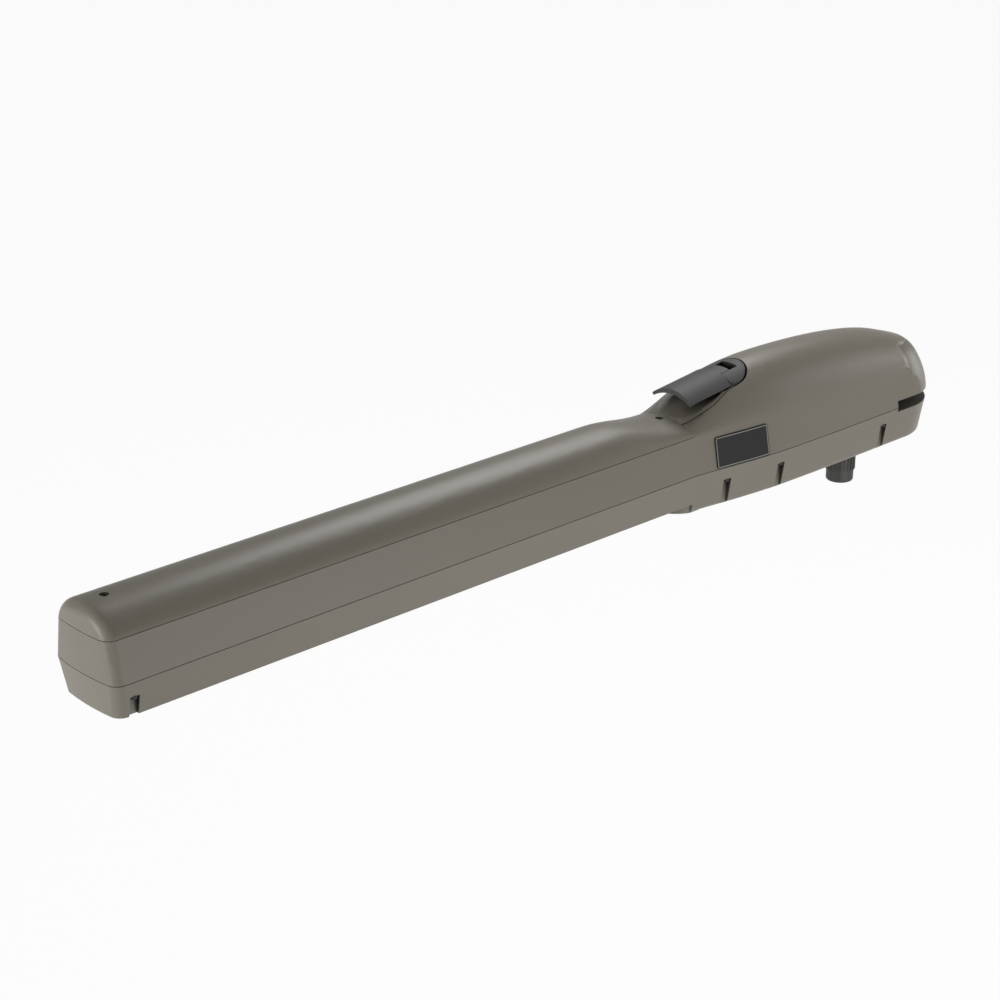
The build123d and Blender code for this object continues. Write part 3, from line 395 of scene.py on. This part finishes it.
def edge_wear_group() -> bpy.types.ShaderNodeTree:
    """Rubbed edges: where the rounded normal leaves the face normal, broken up by noise.

    Returns:
        The group's tree.
    """
    contrast = 9.0
    group = Group("edge_wear")
    group.takes("Color", "NodeSocketColor", (0.2, 0.2, 0.2))
    group.takes("Worn Color", "NodeSocketColor", (0.4, 0.4, 0.4))
    group.takes("Radius", "NodeSocketFloat", 0.0006)
    group.takes("Amount", "NodeSocketFloat", 0.5)
    group.gives("Color", "NodeSocketColor")
    group.gives("Normal", "NodeSocketVector")
    given = group.source.outputs
    bevel = group.fed(group.node("ShaderNodeBevel", samples=4), Radius=given["Radius"])
    geometry = group.node("ShaderNodeNewGeometry")
    turn = group.node("ShaderNodeVectorMath", operation="DOT_PRODUCT")
    group.feed(bevel.outputs["Normal"], turn.inputs[0])
    group.feed(geometry.outputs["Normal"], turn.inputs[1])
    edge = group.math("SUBTRACT", 1.0, turn.outputs["Value"])
    patchy = group.noise(260.0, detail=5.0, rough=0.7)
    worn = group.math("MULTIPLY", edge, group.math("MULTIPLY", patchy, contrast))
    share = group.math("MULTIPLY", worn, given["Amount"], clamp=True)
    color = group.mix(share, given["Color"], given["Worn Color"])
    group.fed(group.sink, Color=color, Normal=bevel.outputs["Normal"])
    return group.tree


def settled_dust_group() -> bpy.types.ShaderNodeTree:
    """Dust that lies on the faces that look up.

    Returns:
        The group's tree.
    """
    falloff = 3.0
    group = Group("settled_dust")
    group.takes("Color", "NodeSocketColor", (0.2, 0.2, 0.2))
    group.takes("Dust Color", "NodeSocketColor", (0.42, 0.4, 0.36))
    group.takes("Amount", "NodeSocketFloat", 0.2)
    group.gives("Color", "NodeSocketColor")
    given = group.source.outputs
    geometry = group.node("ShaderNodeNewGeometry")
    split = group.fed(group.node("ShaderNodeSeparateXYZ"), Vector=geometry.outputs["Normal"])
    up = group.math("POWER", group.math("MAXIMUM", split.outputs["Z"], 0.0), falloff)
    patchy = group.noise(42.0, detail=6.0, rough=0.65, stretch=(0.6, 1.0, 1.0))
    lying = group.math("MULTIPLY", up, patchy)
    share = group.math("MULTIPLY", lying, given["Amount"], clamp=True)
    group.fed(group.sink, Color=group.mix(share, given["Color"], given["Dust Color"]))
    return group.tree


def recess_painted_shade_group() -> bpy.types.ShaderNodeTree:
    """Painted shade: darkens joints, seams and recesses by ambient occlusion, standing in for the
    shade that falls there.

    Returns:
        The group's tree.
    """
    falloff = 1.6
    group = Group("recess_painted_shade")
    group.takes("Color", "NodeSocketColor", (0.2, 0.2, 0.2))
    group.takes("Painted Shade Color", "NodeSocketColor", (0.018, 0.016, 0.012))
    group.takes("Reach", "NodeSocketFloat", 0.02)
    group.takes("Amount", "NodeSocketFloat", 2.2)
    group.gives("Color", "NodeSocketColor")
    given = group.source.outputs
    # painted shade: the more closed in a point is, the darker its colour is painted
    hollow = group.node("ShaderNodeAmbientOcclusion", samples=6)
    group.fed(hollow, Distance=given["Reach"])
    shut = group.math("SUBTRACT", 1.0, hollow.outputs["AO"])
    deep = group.math("POWER", shut, falloff)
    share = group.math("MULTIPLY", deep, given["Amount"], clamp=True)
    group.fed(group.sink, Color=group.mix(share, given["Color"], given["Painted Shade Color"]))
    return group.tree


def brushed_metal_group() -> bpy.types.ShaderNodeTree:
    """Drawn or turned metal: fine streaks along one axis and slow tarnish.

    Returns:
        The group's tree.
    """
    stain_share, stain_start, streak_share, middle = 1.1, -0.25, 0.25, 0.5
    group = Group("brushed_metal")
    group.takes("Color", "NodeSocketColor", (0.6, 0.6, 0.6))
    group.takes("Tarnish", "NodeSocketColor", (0.35, 0.34, 0.32))
    group.takes("Roughness", "NodeSocketFloat", 0.35)
    group.takes("Streak Scale", "NodeSocketFloat", 700.0)
    group.gives("Color", "NodeSocketColor")
    group.gives("Roughness", "NodeSocketFloat")
    group.gives("Height", "NodeSocketFloat")
    given = group.source.outputs
    streak = group.noise(given["Streak Scale"], detail=2.0, rough=0.5, stretch=(0.03, 1.0, 1.0))
    stain = group.noise(55.0, detail=5.0, rough=0.6)
    share = group.math("MULTIPLY_ADD", stain, stain_share, stain_start, clamp=True)
    centred = group.math("SUBTRACT", streak, middle)
    rough = group.math("MULTIPLY_ADD", centred, streak_share, given["Roughness"])
    color = group.mix(share, given["Color"], given["Tarnish"])
    group.fed(group.sink, Color=color, Roughness=rough, Height=streak)
    return group.tree


@dataclass
class Effects:
    """The shader groups, each built once."""

    grain: bpy.types.ShaderNodeTree = field(default_factory=moulded_grain_group)
    wear: bpy.types.ShaderNodeTree = field(default_factory=edge_wear_group)
    dust: bpy.types.ShaderNodeTree = field(default_factory=settled_dust_group)
    # painted shade in recesses and joints, by ambient occlusion
    painted_shade: bpy.types.ShaderNodeTree = field(default_factory=recess_painted_shade_group)
    metal: bpy.types.ShaderNodeTree = field(default_factory=brushed_metal_group)


def new_material(name: str) -> tuple[bpy.types.Material, Wiring]:
    """Starts a material.

    Args:
        name: The name of the material.

    Returns:
        The material and the wiring of its tree.
    """
    material = bpy.data.materials.new(name)
    material.use_nodes = True
    return material, Wiring(material.node_tree)


@dataclass(frozen=True)
class MouldedFinish:
    """A moulded plastic or rubber with fine grain, rubbed edges, a little dust and painted shade in
    its recesses.
    """

    name: str
    color: Color
    shade: Color
    roughness: float
    worn: Color
    grain_scale: float = 900.0
    bump: float = 0.00002
    wear: float = 0.35
    dust: float = 0.15
    edge: float = 0.0005
    specular: float = 0.5
    # how strongly recesses and joints are darkened with painted shade
    painted_shade: float = 2.2

    def build(self, effects: Effects) -> bpy.types.Material:
        """Builds the material.

        Args:
            effects: The shared shader groups.

        Returns:
            The material.
        """
        material, wires = new_material(self.name)
        grain = wires.fed(wires.node("ShaderNodeGroup", node_tree=effects.grain),
                          Color=self.color, Shade=self.shade, Grain_Scale=self.grain_scale,
                          Roughness=self.roughness)
        wear = wires.fed(wires.node("ShaderNodeGroup", node_tree=effects.wear),
                         Color=grain.outputs["Color"], Worn_Color=self.worn, Radius=self.edge,
                         Amount=self.wear)
        dust = wires.fed(wires.node("ShaderNodeGroup", node_tree=effects.dust),
                         Color=wear.outputs["Color"], Amount=self.dust)
        # painted shade: recesses and joints darkened over the dust and wear
        painted_shade = wires.fed(wires.node("ShaderNodeGroup", node_tree=effects.painted_shade),
                          Color=dust.outputs["Color"], Amount=self.painted_shade)
        bump = wires.bump(grain.outputs["Height"], self.bump)
        wires.feed(wear.outputs["Normal"], bump.inputs["Normal"])
        wires.fed(material.node_tree.nodes["Principled BSDF"], Base_Color=painted_shade.outputs["Color"],
                  Roughness=grain.outputs["Roughness"], Normal=bump.outputs["Normal"],
                  Specular_IOR_Level=self.specular)
        return material


@dataclass(frozen=True)
class MetalFinish:
    """A bare metal with fine streaks and slow tarnish."""

    name: str
    color: Color
    tarnish: Color
    roughness: float
    streak_scale: float = 700.0
    bump: float = 0.00001

    def build(self, effects: Effects) -> bpy.types.Material:
        """Builds the material.

        Args:
            effects: The shared shader groups.

        Returns:
            The material.
        """
        material, wires = new_material(self.name)
        metal = wires.fed(wires.node("ShaderNodeGroup", node_tree=effects.metal),
                          Color=self.color, Tarnish=self.tarnish, Roughness=self.roughness,
                          Streak_Scale=self.streak_scale)
        bump = wires.bump(metal.outputs["Height"], self.bump)
        wires.fed(material.node_tree.nodes["Principled BSDF"], Base_Color=metal.outputs["Color"],
                  Roughness=metal.outputs["Roughness"], Normal=bump.outputs["Normal"],
                  Metallic=1.0)
        return material


FINISHES: dict[str, MouldedFinish | MetalFinish] = {finish.name: finish for finish in (
    MouldedFinish("casing_plastic", color=(0.19, 0.173, 0.138), shade=(0.17, 0.154, 0.123),
                  roughness=0.42, worn=(0.27, 0.255, 0.22), wear=0.25, dust=0.12),
    MouldedFinish("plate_plastic", color=(0.015, 0.016, 0.015), shade=(0.012, 0.013, 0.012),
                  roughness=0.4, worn=(0.08, 0.08, 0.08), wear=0.2, dust=0.05, bump=0.00001,
                  specular=0.25),
    MouldedFinish("plate_line", color=(0.3, 0.3, 0.29), shade=(0.24, 0.24, 0.23),
                  roughness=0.35, worn=(0.5, 0.5, 0.5), wear=0.1, dust=0.05, bump=0.000005),
    MouldedFinish("black_plastic", color=(0.034, 0.033, 0.028), shade=(0.026, 0.025, 0.022),
                  roughness=0.5, worn=(0.09, 0.09, 0.085), wear=0.3, dust=0.25),
    MouldedFinish("lever_plastic", color=(0.078, 0.078, 0.077), shade=(0.064, 0.064, 0.063),
                  roughness=0.5, worn=(0.2, 0.2, 0.2), wear=0.35, dust=0.06, specular=0.22),
    MouldedFinish("pad_plastic", color=(0.62, 0.6, 0.53), shade=(0.55, 0.52, 0.44),
                  roughness=0.45, worn=(0.7, 0.69, 0.64), wear=0.1, dust=0.05),
    MouldedFinish("seal_rubber", color=(0.02, 0.02, 0.02), shade=(0.016, 0.016, 0.016),
                  roughness=0.75, worn=(0.05, 0.05, 0.05), wear=0.1, dust=0.2),
    MouldedFinish("motor_steel", color=(0.035, 0.035, 0.036), shade=(0.028, 0.028, 0.029),
                  roughness=0.4, worn=(0.25, 0.24, 0.23), wear=0.6, dust=0.1, grain_scale=300.0),
    MouldedFinish("board_laminate", color=(0.015, 0.11, 0.045), shade=(0.012, 0.08, 0.035),
                  roughness=0.3, worn=(0.2, 0.3, 0.2), wear=0.2, dust=0.05),
    MouldedFinish("blackened_steel", color=(0.022, 0.021, 0.019), shade=(0.016, 0.015, 0.014),
                  roughness=0.45, worn=(0.12, 0.12, 0.12), wear=0.3, dust=0.1, specular=0.35),
    MetalFinish("zinc_steel", color=(0.62, 0.62, 0.6), tarnish=(0.42, 0.41, 0.38),
                roughness=0.38),
    MetalFinish("ground_steel", color=(0.55, 0.55, 0.56), tarnish=(0.34, 0.33, 0.31),
                roughness=0.26),
    MetalFinish("bright_metal", color=(0.3, 0.3, 0.3), tarnish=(0.2, 0.2, 0.19), roughness=0.3),
    MetalFinish("beam_aluminium", color=(0.68, 0.69, 0.7), tarnish=(0.52, 0.52, 0.52),
                roughness=0.32),
    MetalFinish("cast_aluminium", color=(0.5, 0.5, 0.5), tarnish=(0.36, 0.36, 0.35),
                roughness=0.5, streak_scale=90.0, bump=0.00006),
    MetalFinish("bronze", color=(0.62, 0.42, 0.18), tarnish=(0.36, 0.22, 0.09), roughness=0.3),
)}


@dataclass
class Palette:
    """The materials of the opener by slot."""

    effects: Effects = field(default_factory=Effects)
    made: dict[str, bpy.types.Material] = field(default_factory=dict)

    def __getitem__(self, slot: str) -> bpy.types.Material:
        """The material of a slot, built at its first use.

        Args:
            slot: The slot's name.

        Returns:
            The material.
        """
        if slot not in self.made:
            self.made[slot] = FINISHES[slot].build(self.effects)
        return self.made[slot]


# Sub-assemblies


@dataclass
class FrameDress:
    """Gives every node of the frame the material of its slot."""

    palette: Palette
    blackened: tuple[str, ...] = ("cover_screws", "shell_screws")

    def slots(self) -> dict[str, str]:
        """The finish of each node: its slot, or the blackened steel of the outer screws."""
        slots = {part["node"]: part["material_slot"] for part in frame["record"]["subparts"]}
        return slots | dict.fromkeys(self.blackened, "blackened_steel")

    def build(self) -> None:
        """Dresses the nodes."""
        slots = self.slots()
        for node, shown in frame["nodes"].items():
            material = self.palette[slots[node]]
            if not shown.material_slots:
                shown.data.materials.append(material)
            for place in shown.material_slots:
                place.material = material


@dataclass
class Skins:
    """Smooth versions of the mouldings that show, with their triangles joined."""

    palette: Palette
    angle: float = 28.0
    nodes: dict[str, tuple[Body, str]] = field(default_factory=lambda: {
        "lower_shell": (Body.CASING, "casing_plastic"),
        "upper_shell": (Body.CASING, "casing_plastic"),
        "top_cover": (Body.CASING, "casing_plastic"),
        "gland_body": (Body.CASING, "black_plastic"),
        "gland_nut": (Body.CASING, "black_plastic"),
        "tail_fork": (Body.CASING, "cast_aluminium"),
        "carriage_body": (Body.TRAVELLER, "cast_aluminium"),
    })
    tail_x: float = -0.018
    tail_slack: float = 0.00005
    shoulder_reach: float = 0.0690
    shoulder_lean: float = 0.00031
    lean_below: float = 49.7
    shoulder_shares: tuple[tuple[float, float, float], ...] = (
        (51.0, 62.0, 0.965), (47.5, 51.0, 0.964), (43.0, 47.5, 0.961), (40.2, 43.0, 0.9575),
        (38.2, 40.2, 0.9532), (37.0, 38.2, 0.957), (35.0, 37.0, 0.963),
    )

    def stands_proud(self, co: Vector, low: float, high: float) -> bool:
        """Whether a point of the housing's last section stands proud of the round tail.

        Args:
            co: The point.
            low: The least angle above the horizon, in degrees.
            high: The greatest angle.

        Returns:
            True for a point of the section's outer line between the two angles.
        """
        turn = math.degrees(math.atan2(co.z, abs(co.y)))
        reach = self.shoulder_reach - self.shoulder_lean * max(0.0, self.lean_below - turn)
        on_section = abs(co.x - self.tail_x) < self.tail_slack
        return on_section and low < turn < high and co.yz.length > reach

    def ease_shoulder(self, piece: bpy.types.Object) -> None:
        """Draws the housing's last section in to meet the round tail.

        Args:
            piece: The upper shell's skin.
        """
        for low, high, share in self.shoulder_shares:
            pick_points(piece, lambda co, low=low, high=high: self.stands_proud(co, low, high))
            bpy.ops.transform.resize(value=(1, share, share), center_override=(self.tail_x, 0, 0))
            leave_edit()

    def build(self) -> None:
        """Makes one skin for each node."""
        for node, (body, slot) in self.nodes.items():
            piece = copy_node(node, f"{node}_skin")
            if node == "upper_shell":
                self.ease_shoulder(piece)
            smooth(piece, self.angle)
            dress(piece, [self.palette[slot]])
            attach(piece, body.value)
            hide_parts(node)
            LOG.info("skin %s: %d faces", piece.name, len(piece.data.polygons))


class BaseFace(Enum):
    """The parts of the lever's base, each with its finish."""

    DISC = "lever_plastic"
    TRAY = "casing_plastic"
    WINDOW = "black_plastic"


@dataclass
class LeverSet:
    """Release lever with its thick front lip, and the base whose disc stands in a dark groove."""

    palette: Palette
    front: float = -0.349
    joint: float = -0.287
    crown: float = 0.0783
    half: float = 0.028
    rise: float = 0.0103
    lip: float = 0.0026
    lip_length: float = 0.0045
    skin: float = 0.0008
    edge_slack: float = 0.0003
    joint_band: float = 0.012
    gap: float = 0.0014
    tongue_half: float = 0.0102
    disc_x: float = -0.277
    rim_low: float = 0.069
    rim_reach: float = 0.0275
    rim_share: float = 0.952
    window_top: float = 0.0765
    window_slack: float = 0.0005
    lever_angle: float = 34.0
    base_angle: float = 28.0

    def arch(self, y: float) -> float:
        """Height of the lever's outside at its front edge."""
        radius = (self.half ** 2 + self.rise ** 2) / (2 * self.rise)
        return self.crown - radius + math.sqrt(radius ** 2 - y ** 2)

    def cut(self, piece: bpy.types.Object, x: float) -> None:
        """Cuts the faces of a piece across its length, with nothing taken away.

        Args:
            piece: The mesh to cut.
            x: Where the cut lies.
        """
        edit(piece)
        bpy.ops.mesh.select_all(action="SELECT")
        bpy.ops.mesh.bisect(plane_co=(x, 0, 0), plane_no=(1, 0, 0))
        leave_edit()

    def in_lip(self, co: Vector) -> bool:
        """Whether a point lies under the lever's front edge."""
        return co.x < self.front + self.edge_slack and co.z < self.arch(co.y) - self.skin

    def on_joint(self, co: Vector) -> bool:
        """Whether a point lies on the lever's rear edge, beside the tongue."""
        return abs(co.x - self.joint) < self.edge_slack and abs(co.y) > self.tongue_half

    def on_rim(self, co: Vector) -> bool:
        """Whether a point lies on the rim of the base's disc."""
        reach = (co.xy - Vector((self.disc_x, 0))).length
        return co.x > self.joint and co.z > self.rim_low and reach > self.rim_reach

    def lever(self) -> bpy.types.Object:
        """The arched lever: a lip under its front edge and a clear joint line behind.

        Returns:
            The lever.
        """
        piece = copy_node("release_lever", "arched_lever")
        for x in (self.front + self.lip_length, self.joint - self.joint_band):
            self.cut(piece, x)
        pick_points(piece, self.in_lip)
        bpy.ops.transform.translate(value=(0, 0, -self.lip))
        leave_edit()
        pick_points(piece, self.on_joint)
        bpy.ops.transform.translate(value=(-self.gap, 0, 0))
        leave_edit()
        smooth(piece, self.lever_angle)
        dress(piece, [self.palette["lever_plastic"]])
        return piece

    def part_of(self, face: bpy.types.MeshPolygon) -> BaseFace:
        """Which part of the base a face belongs to.

        Args:
            face: The face.

        Returns:
            The part.
        """
        if face.center.x < self.joint:
            return BaseFace.TRAY
        beside = abs(face.center.y) < self.tongue_half + self.window_slack
        below = face.center.z < self.window_top
        return BaseFace.WINDOW if beside and below else BaseFace.DISC

    def base(self) -> bpy.types.Object:
        """The base: the disc's rim drawn in to open the groove, the tray in the casing's colour.

        Returns:
            The base.
        """
        piece = copy_node("lever_base", "disc_and_tray")
        pick_points(piece, self.on_rim)
        bpy.ops.transform.resize(value=(self.rim_share, self.rim_share, 1),
                                 center_override=(self.disc_x, 0, 0))
        leave_edit()
        order = list(BaseFace)
        dress(piece, [self.palette[part.value] for part in order])
        for face in piece.data.polygons:
            face.material_index = order.index(self.part_of(face))
        smooth(piece, self.base_angle)
        return piece

    def build(self) -> None:
        """Builds the lever and its base."""
        for piece, body, node in (
            (self.lever(), Body.LEVER, "release_lever"),
            (self.base(), Body.CASING, "lever_base"),
        ):
            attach(piece, body.value)
            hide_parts(node)
            LOG.info("lever set %s: %d faces", piece.name, len(piece.data.polygons))


@dataclass
class Plate:
    """Bare plate with a thin light frame line, on the near side of the housing."""

    palette: Palette
    margin: float = 0.0008
    line: float = 0.0008
    near_turn: float = -0.8
    flat_angle: float = 8.0
    angle: float = 30.0

    def paint(self, piece: bpy.types.Object, index: int) -> None:
        """Gives the selected faces one of the plate's materials."""
        piece.active_material_index = index
        bpy.ops.object.material_slot_assign()

    def build(self) -> None:
        """Builds the plate from the node's own form."""
        piece = copy_node("nameplate", "bare_plate")
        dress(piece, [self.palette["plate_plastic"], self.palette["plate_line"]])
        pick_faces(piece, lambda face: face.normal.y < self.near_turn)
        bpy.ops.mesh.dissolve_limited(angle_limit=math.radians(self.flat_angle))
        bpy.ops.mesh.inset(thickness=self.margin, depth=0, use_boundary=True)
        self.paint(piece, 1)
        bpy.ops.mesh.inset(thickness=self.line, depth=0, use_boundary=True)
        self.paint(piece, 0)
        leave_edit()
        smooth(piece, self.angle)
        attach(piece, Body.CASING.value)
        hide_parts("nameplate")
        LOG.info("plate: %d faces", len(piece.data.polygons))


@dataclass
class Brushes:
    """Bristle tufts along both edges of the underside slot."""

    palette: Palette
    inner: float = 0.015
    pitch: float = 0.0021
    root: float = 0.00115
    tip: float = 0.0007
    sides: int = 6
    angle: float = 40.0

    def strip(self, sign: int) -> bpy.types.Object:
        """One row of tufts.

        Args:
            sign: The side of the slot, -1 near and 1 far.

        Returns:
            The row as one mesh.
        """
        low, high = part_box("brush_seals")
        length = high[1] - self.inner
        height = (low[2] + high[2]) / 2
        bpy.ops.mesh.primitive_cone_add(
            vertices=self.sides, radius1=self.root, radius2=self.tip, depth=length,
            location=(low[0] + self.root, sign * (self.inner + length / 2), height),
            rotation=(sign * math.pi / 2, 0, 0))
        tuft = bpy.context.object
        tuft.name = f"bristles_{sign}"
        settle(tuft)
        row = tuft.modifiers.new("row", "ARRAY")
        row.use_relative_offset = False
        row.use_constant_offset = True
        row.constant_offset_displace = (self.pitch, 0, 0)
        row.count = int((high[0] - low[0] - 2 * self.root) / self.pitch) + 1
        make_active(tuft)
        bpy.ops.object.modifier_apply(modifier=row.name)
        return tuft

    def build(self) -> None:
        """Builds both rows."""
        brushes = join_pieces([self.strip(-1), self.strip(1)], "bristle_rows")
        smooth(brushes, self.angle)
        dress(brushes, [self.palette["black_plastic"]])
        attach(brushes, Body.CASING.value)
        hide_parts("brush_seals")
        LOG.info("brushes: %d faces", len(brushes.data.polygons))


@dataclass
class Thread:
    """The lead screw with its trapezoidal thread."""

    palette: Palette
    front: float = -1.034
    rear: float = -0.3523
    outer: float = 0.008
    core: float = 0.0062
    sink: float = 0.0004
    pitch: float = 0.005
    starts: int = 2
    steps: int = 20
    sides: int = 32
    root_share: float = 0.66
    crest_share: float = 0.56
    lead_in: float = 0.0005
    run_out: float = 0.001
    angle: float = 30.0

    def journals(self) -> bpy.types.Object:
        """The turned ends of the shaft, cut from the node's form.

        Returns:
            Both ends as one mesh.
        """
        halves = []
        for edge, sign in ((self.front, 1), (self.rear, -1)):
            half = copy_node("lead_screw", "screw_end")
            edit(half)
            bpy.ops.mesh.select_all(action="SELECT")
            bpy.ops.mesh.bisect(plane_co=(edge, 0, 0), plane_no=(sign, 0, 0), use_fill=True,
                                clear_outer=True)
            leave_edit()
            halves.append(half)
        return join_pieces(halves, "screw_ends")

    def shaft(self) -> bpy.types.Object:
        """The core of the threaded length.

        Returns:
            The core.
        """
        length = self.rear - self.front
        bpy.ops.mesh.primitive_cylinder_add(
            vertices=self.sides, radius=self.core, depth=length, end_fill_type="NGON",
            location=((self.front + self.rear) / 2, 0, 0), rotation=(0, math.pi / 2, 0))
        core = bpy.context.object
        core.name = "screw_core"
        settle(core)
        return core

    def profile(self, start: int) -> bpy.types.Object:
        """The outline of one ridge, at the front end of the thread.

        Args:
            start: Which of the starts it is.

        Returns:
            The outline as a mesh without a face.
        """
        width = self.pitch * self.root_share
        inner = self.core - self.sink
        depth = self.outer - inner
        middle = inner + depth / 2
        bpy.ops.mesh.primitive_plane_add(size=1, location=(0, 0, middle),
                                         rotation=(math.pi / 2, 0, 0))
        outline = bpy.context.object
        outline.name = f"ridge_{start}"
        outline.scale = (width, depth, 1)
        settle(outline)
        pick_points(outline, lambda co: co.z > middle)
        bpy.ops.transform.resize(value=(self.crest_share, 1, 1),
                                 center_override=(0, 0, self.outer))
        bpy.ops.mesh.select_all(action="SELECT")
        shift = self.front + width / 2 + self.lead_in + start * self.pitch
        bpy.ops.transform.translate(value=(shift, 0, 0))
        bpy.ops.mesh.delete(type="ONLY_FACE")
        leave_edit()
        return outline

    def ridge(self, start: int) -> bpy.types.Object:
        """One helical ridge of the thread, wound from its outline.

        Args:
            start: Which of the starts it is.

        Returns:
            The ridge as a closed mesh.
        """
        ridge = self.profile(start)
        lead = self.pitch * self.starts
        turns = (self.rear - self.front - lead - self.run_out) / lead
        wind = ridge.modifiers.new("wind", "SCREW")
        wind.axis = "X"
        wind.angle = 2 * math.pi * turns
        wind.screw_offset = lead * turns
        wind.steps = int(self.steps * turns)
        wind.render_steps = wind.steps
        wind.use_normal_calculate = False
        make_active(ridge)
        bpy.ops.object.modifier_apply(modifier=wind.name)
        edit(ridge, Pick.EDGES)
        bpy.ops.mesh.select_non_manifold()
        bpy.ops.mesh.fill_holes(sides=4)
        bpy.ops.mesh.select_all(action="SELECT")
        bpy.ops.mesh.normals_make_consistent(inside=False)
        leave_edit()
        return ridge

    def build(self) -> None:
        """Builds the screw and lets it ride on its body."""
        parts = [self.journals(), self.shaft()]
        parts += [self.ridge(start) for start in range(self.starts)]
        screw = join_pieces(parts, "threaded_screw")
        smooth(screw, self.angle)
        dress(screw, [self.palette["ground_steel"]])
        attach(screw, Body.SCREW.value)
        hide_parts("lead_screw")
        LOG.info("screw: %d faces", len(screw.data.polygons))


# Studio


@dataclass(frozen=True)
class Lamp:
    """A soft square lamp, its side in metres and its power in watts."""

    name: str
    place: Place
    aim: Place
    size: float
    power: float

    def build(self) -> None:
        """Sets up the lamp and turns it to the point that it faces."""
        data = bpy.data.lights.new(self.name, "AREA")
        data.shape = "SQUARE"
        data.size = self.size
        data.energy = self.power
        lamp = bpy.data.objects.new(self.name, data)
        lamp.location = self.place
        way = Vector(self.aim) - Vector(self.place)
        lamp.rotation_mode = "QUATERNION"
        lamp.rotation_quaternion = way.to_track_quat("-Z", "Y")
        bpy.context.scene.collection.objects.link(lamp)


@dataclass
class Studio:
    """Pale floor, soft lamps and the camera of the photograph."""

    azimuth: float = -42.67
    elevation: float = 22.32
    focal: float = 2438.17
    frame_pixels: float = 1000.0
    sensor: float = 36.0
    near_clip: float = 0.05
    far_clip: float = 200.0
    eye: Place = (-2.09105, -1.62728, 0.93064)
    floor_height: float = -0.7
    floor_size: float = 60.0
    floor_color: Color = (0.86, 0.86, 0.85)
    floor_glow: float = 0.94
    white: Color = (1.0, 1.0, 1.0)
    ambient: float = 0.27
    lamps: tuple[Lamp, ...] = (
        Lamp("front_lamp", place=(-4.4, 0.5, 0.5), aim=(-0.5, 0.0, 0.0), size=2.0, power=92.0),
        Lamp("top_lamp", place=(0.3, 0.55, 1.15), aim=(-0.12, 0.0, 0.05), size=0.8, power=11.0),
        Lamp("tail_lamp", place=(2.2, -0.8, 0.5), aim=(-0.05, 0.0, 0.0), size=1.2, power=20.0),
        Lamp("low_lamp", place=(-0.4, -0.95, -0.66), aim=(-0.45, 0.0, -0.05), size=1.4,
             power=11.5),
    )

    def camera(self) -> None:
        """Sets the camera at the photograph's place and angle."""
        turn, rise = math.radians(self.azimuth), math.radians(self.elevation)
        level = math.cos(rise)
        back = Vector((math.sin(turn) * level, -math.cos(turn) * level, math.sin(rise)))
        data = bpy.data.cameras.new("photo_camera")
        data.sensor_width = self.sensor
        data.lens = self.focal / self.frame_pixels * self.sensor
        data.clip_start, data.clip_end = self.near_clip, self.far_clip
        camera = bpy.data.objects.new("photo_camera", data)
        camera.rotation_mode = "QUATERNION"
        camera.rotation_quaternion = (-back).to_track_quat("-Z", "Y")
        camera.location = self.eye
        bpy.context.scene.collection.objects.link(camera)
        bpy.context.scene.camera = camera

    def floor_material(self) -> bpy.types.Material:
        """The floor's finish: white to the camera but for a faint shadow, and clear from below.

        Returns:
            The material.
        """
        material, wires = new_material("floor_white")
        material.node_tree.nodes.clear()
        out = wires.node("ShaderNodeOutputMaterial")
        diffuse = wires.fed(wires.node("ShaderNodeBsdfDiffuse"), Color=self.floor_color)
        glow = wires.fed(wires.node("ShaderNodeEmission"), Color=self.white)
        path = wires.node("ShaderNodeLightPath").outputs
        seen = wires.math("MAXIMUM", path["Is Camera Ray"], path["Is Glossy Ray"])
        share = wires.math("MULTIPLY", seen, self.floor_glow)
        top = wires.blend(share, diffuse.outputs[0], glow.outputs[0])
        clear = wires.node("ShaderNodeBsdfTransparent")
        below = wires.node("ShaderNodeNewGeometry").outputs["Backfacing"]
        wires.fed(out, Surface=wires.blend(below, top, clear.outputs[0]))
        return material

    def floor(self) -> None:
        """Lays the floor."""
        deselect_all()
        bpy.ops.mesh.primitive_plane_add(size=self.floor_size, location=(0, 0, self.floor_height))
        floor = bpy.context.object
        floor.name = "studio_floor"
        floor.data.materials.append(self.floor_material())

    def world(self) -> None:
        """Sets the surroundings: an even light, and white to the camera."""
        world = bpy.data.worlds.new("studio_world")
        bpy.context.scene.world = world
        world.use_nodes = True
        world.node_tree.nodes.clear()
        wires = Wiring(world.node_tree)
        out = wires.node("ShaderNodeOutputWorld")
        lit = wires.fed(wires.node("ShaderNodeBackground"), Color=self.white, Strength=self.ambient)
        seen = wires.fed(wires.node("ShaderNodeBackground"), Color=self.white, Strength=1.0)
        path = wires.node("ShaderNodeLightPath").outputs
        either = wires.math("MAXIMUM", path["Is Camera Ray"], path["Is Transmission Ray"])
        wires.fed(out, Surface=wires.blend(either, lit.outputs[0], seen.outputs[0]))

    def build(self) -> None:
        """Builds the studio."""
        self.floor()
        self.world()
        for lamp in self.lamps:
            lamp.build()
        self.camera()
        bpy.context.scene.view_settings.view_transform = "Standard"


def main() -> None:
    """Builds the dressed opener and its studio."""
    logging.basicConfig(level=logging.INFO, format="%(message)s")
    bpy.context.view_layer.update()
    palette = Palette()
    for kind in (FrameDress, Skins, LeverSet, Plate, Brushes, Thread):
        kind(palette).build()
    Studio().build()


if __name__ == "__main__":
    main()
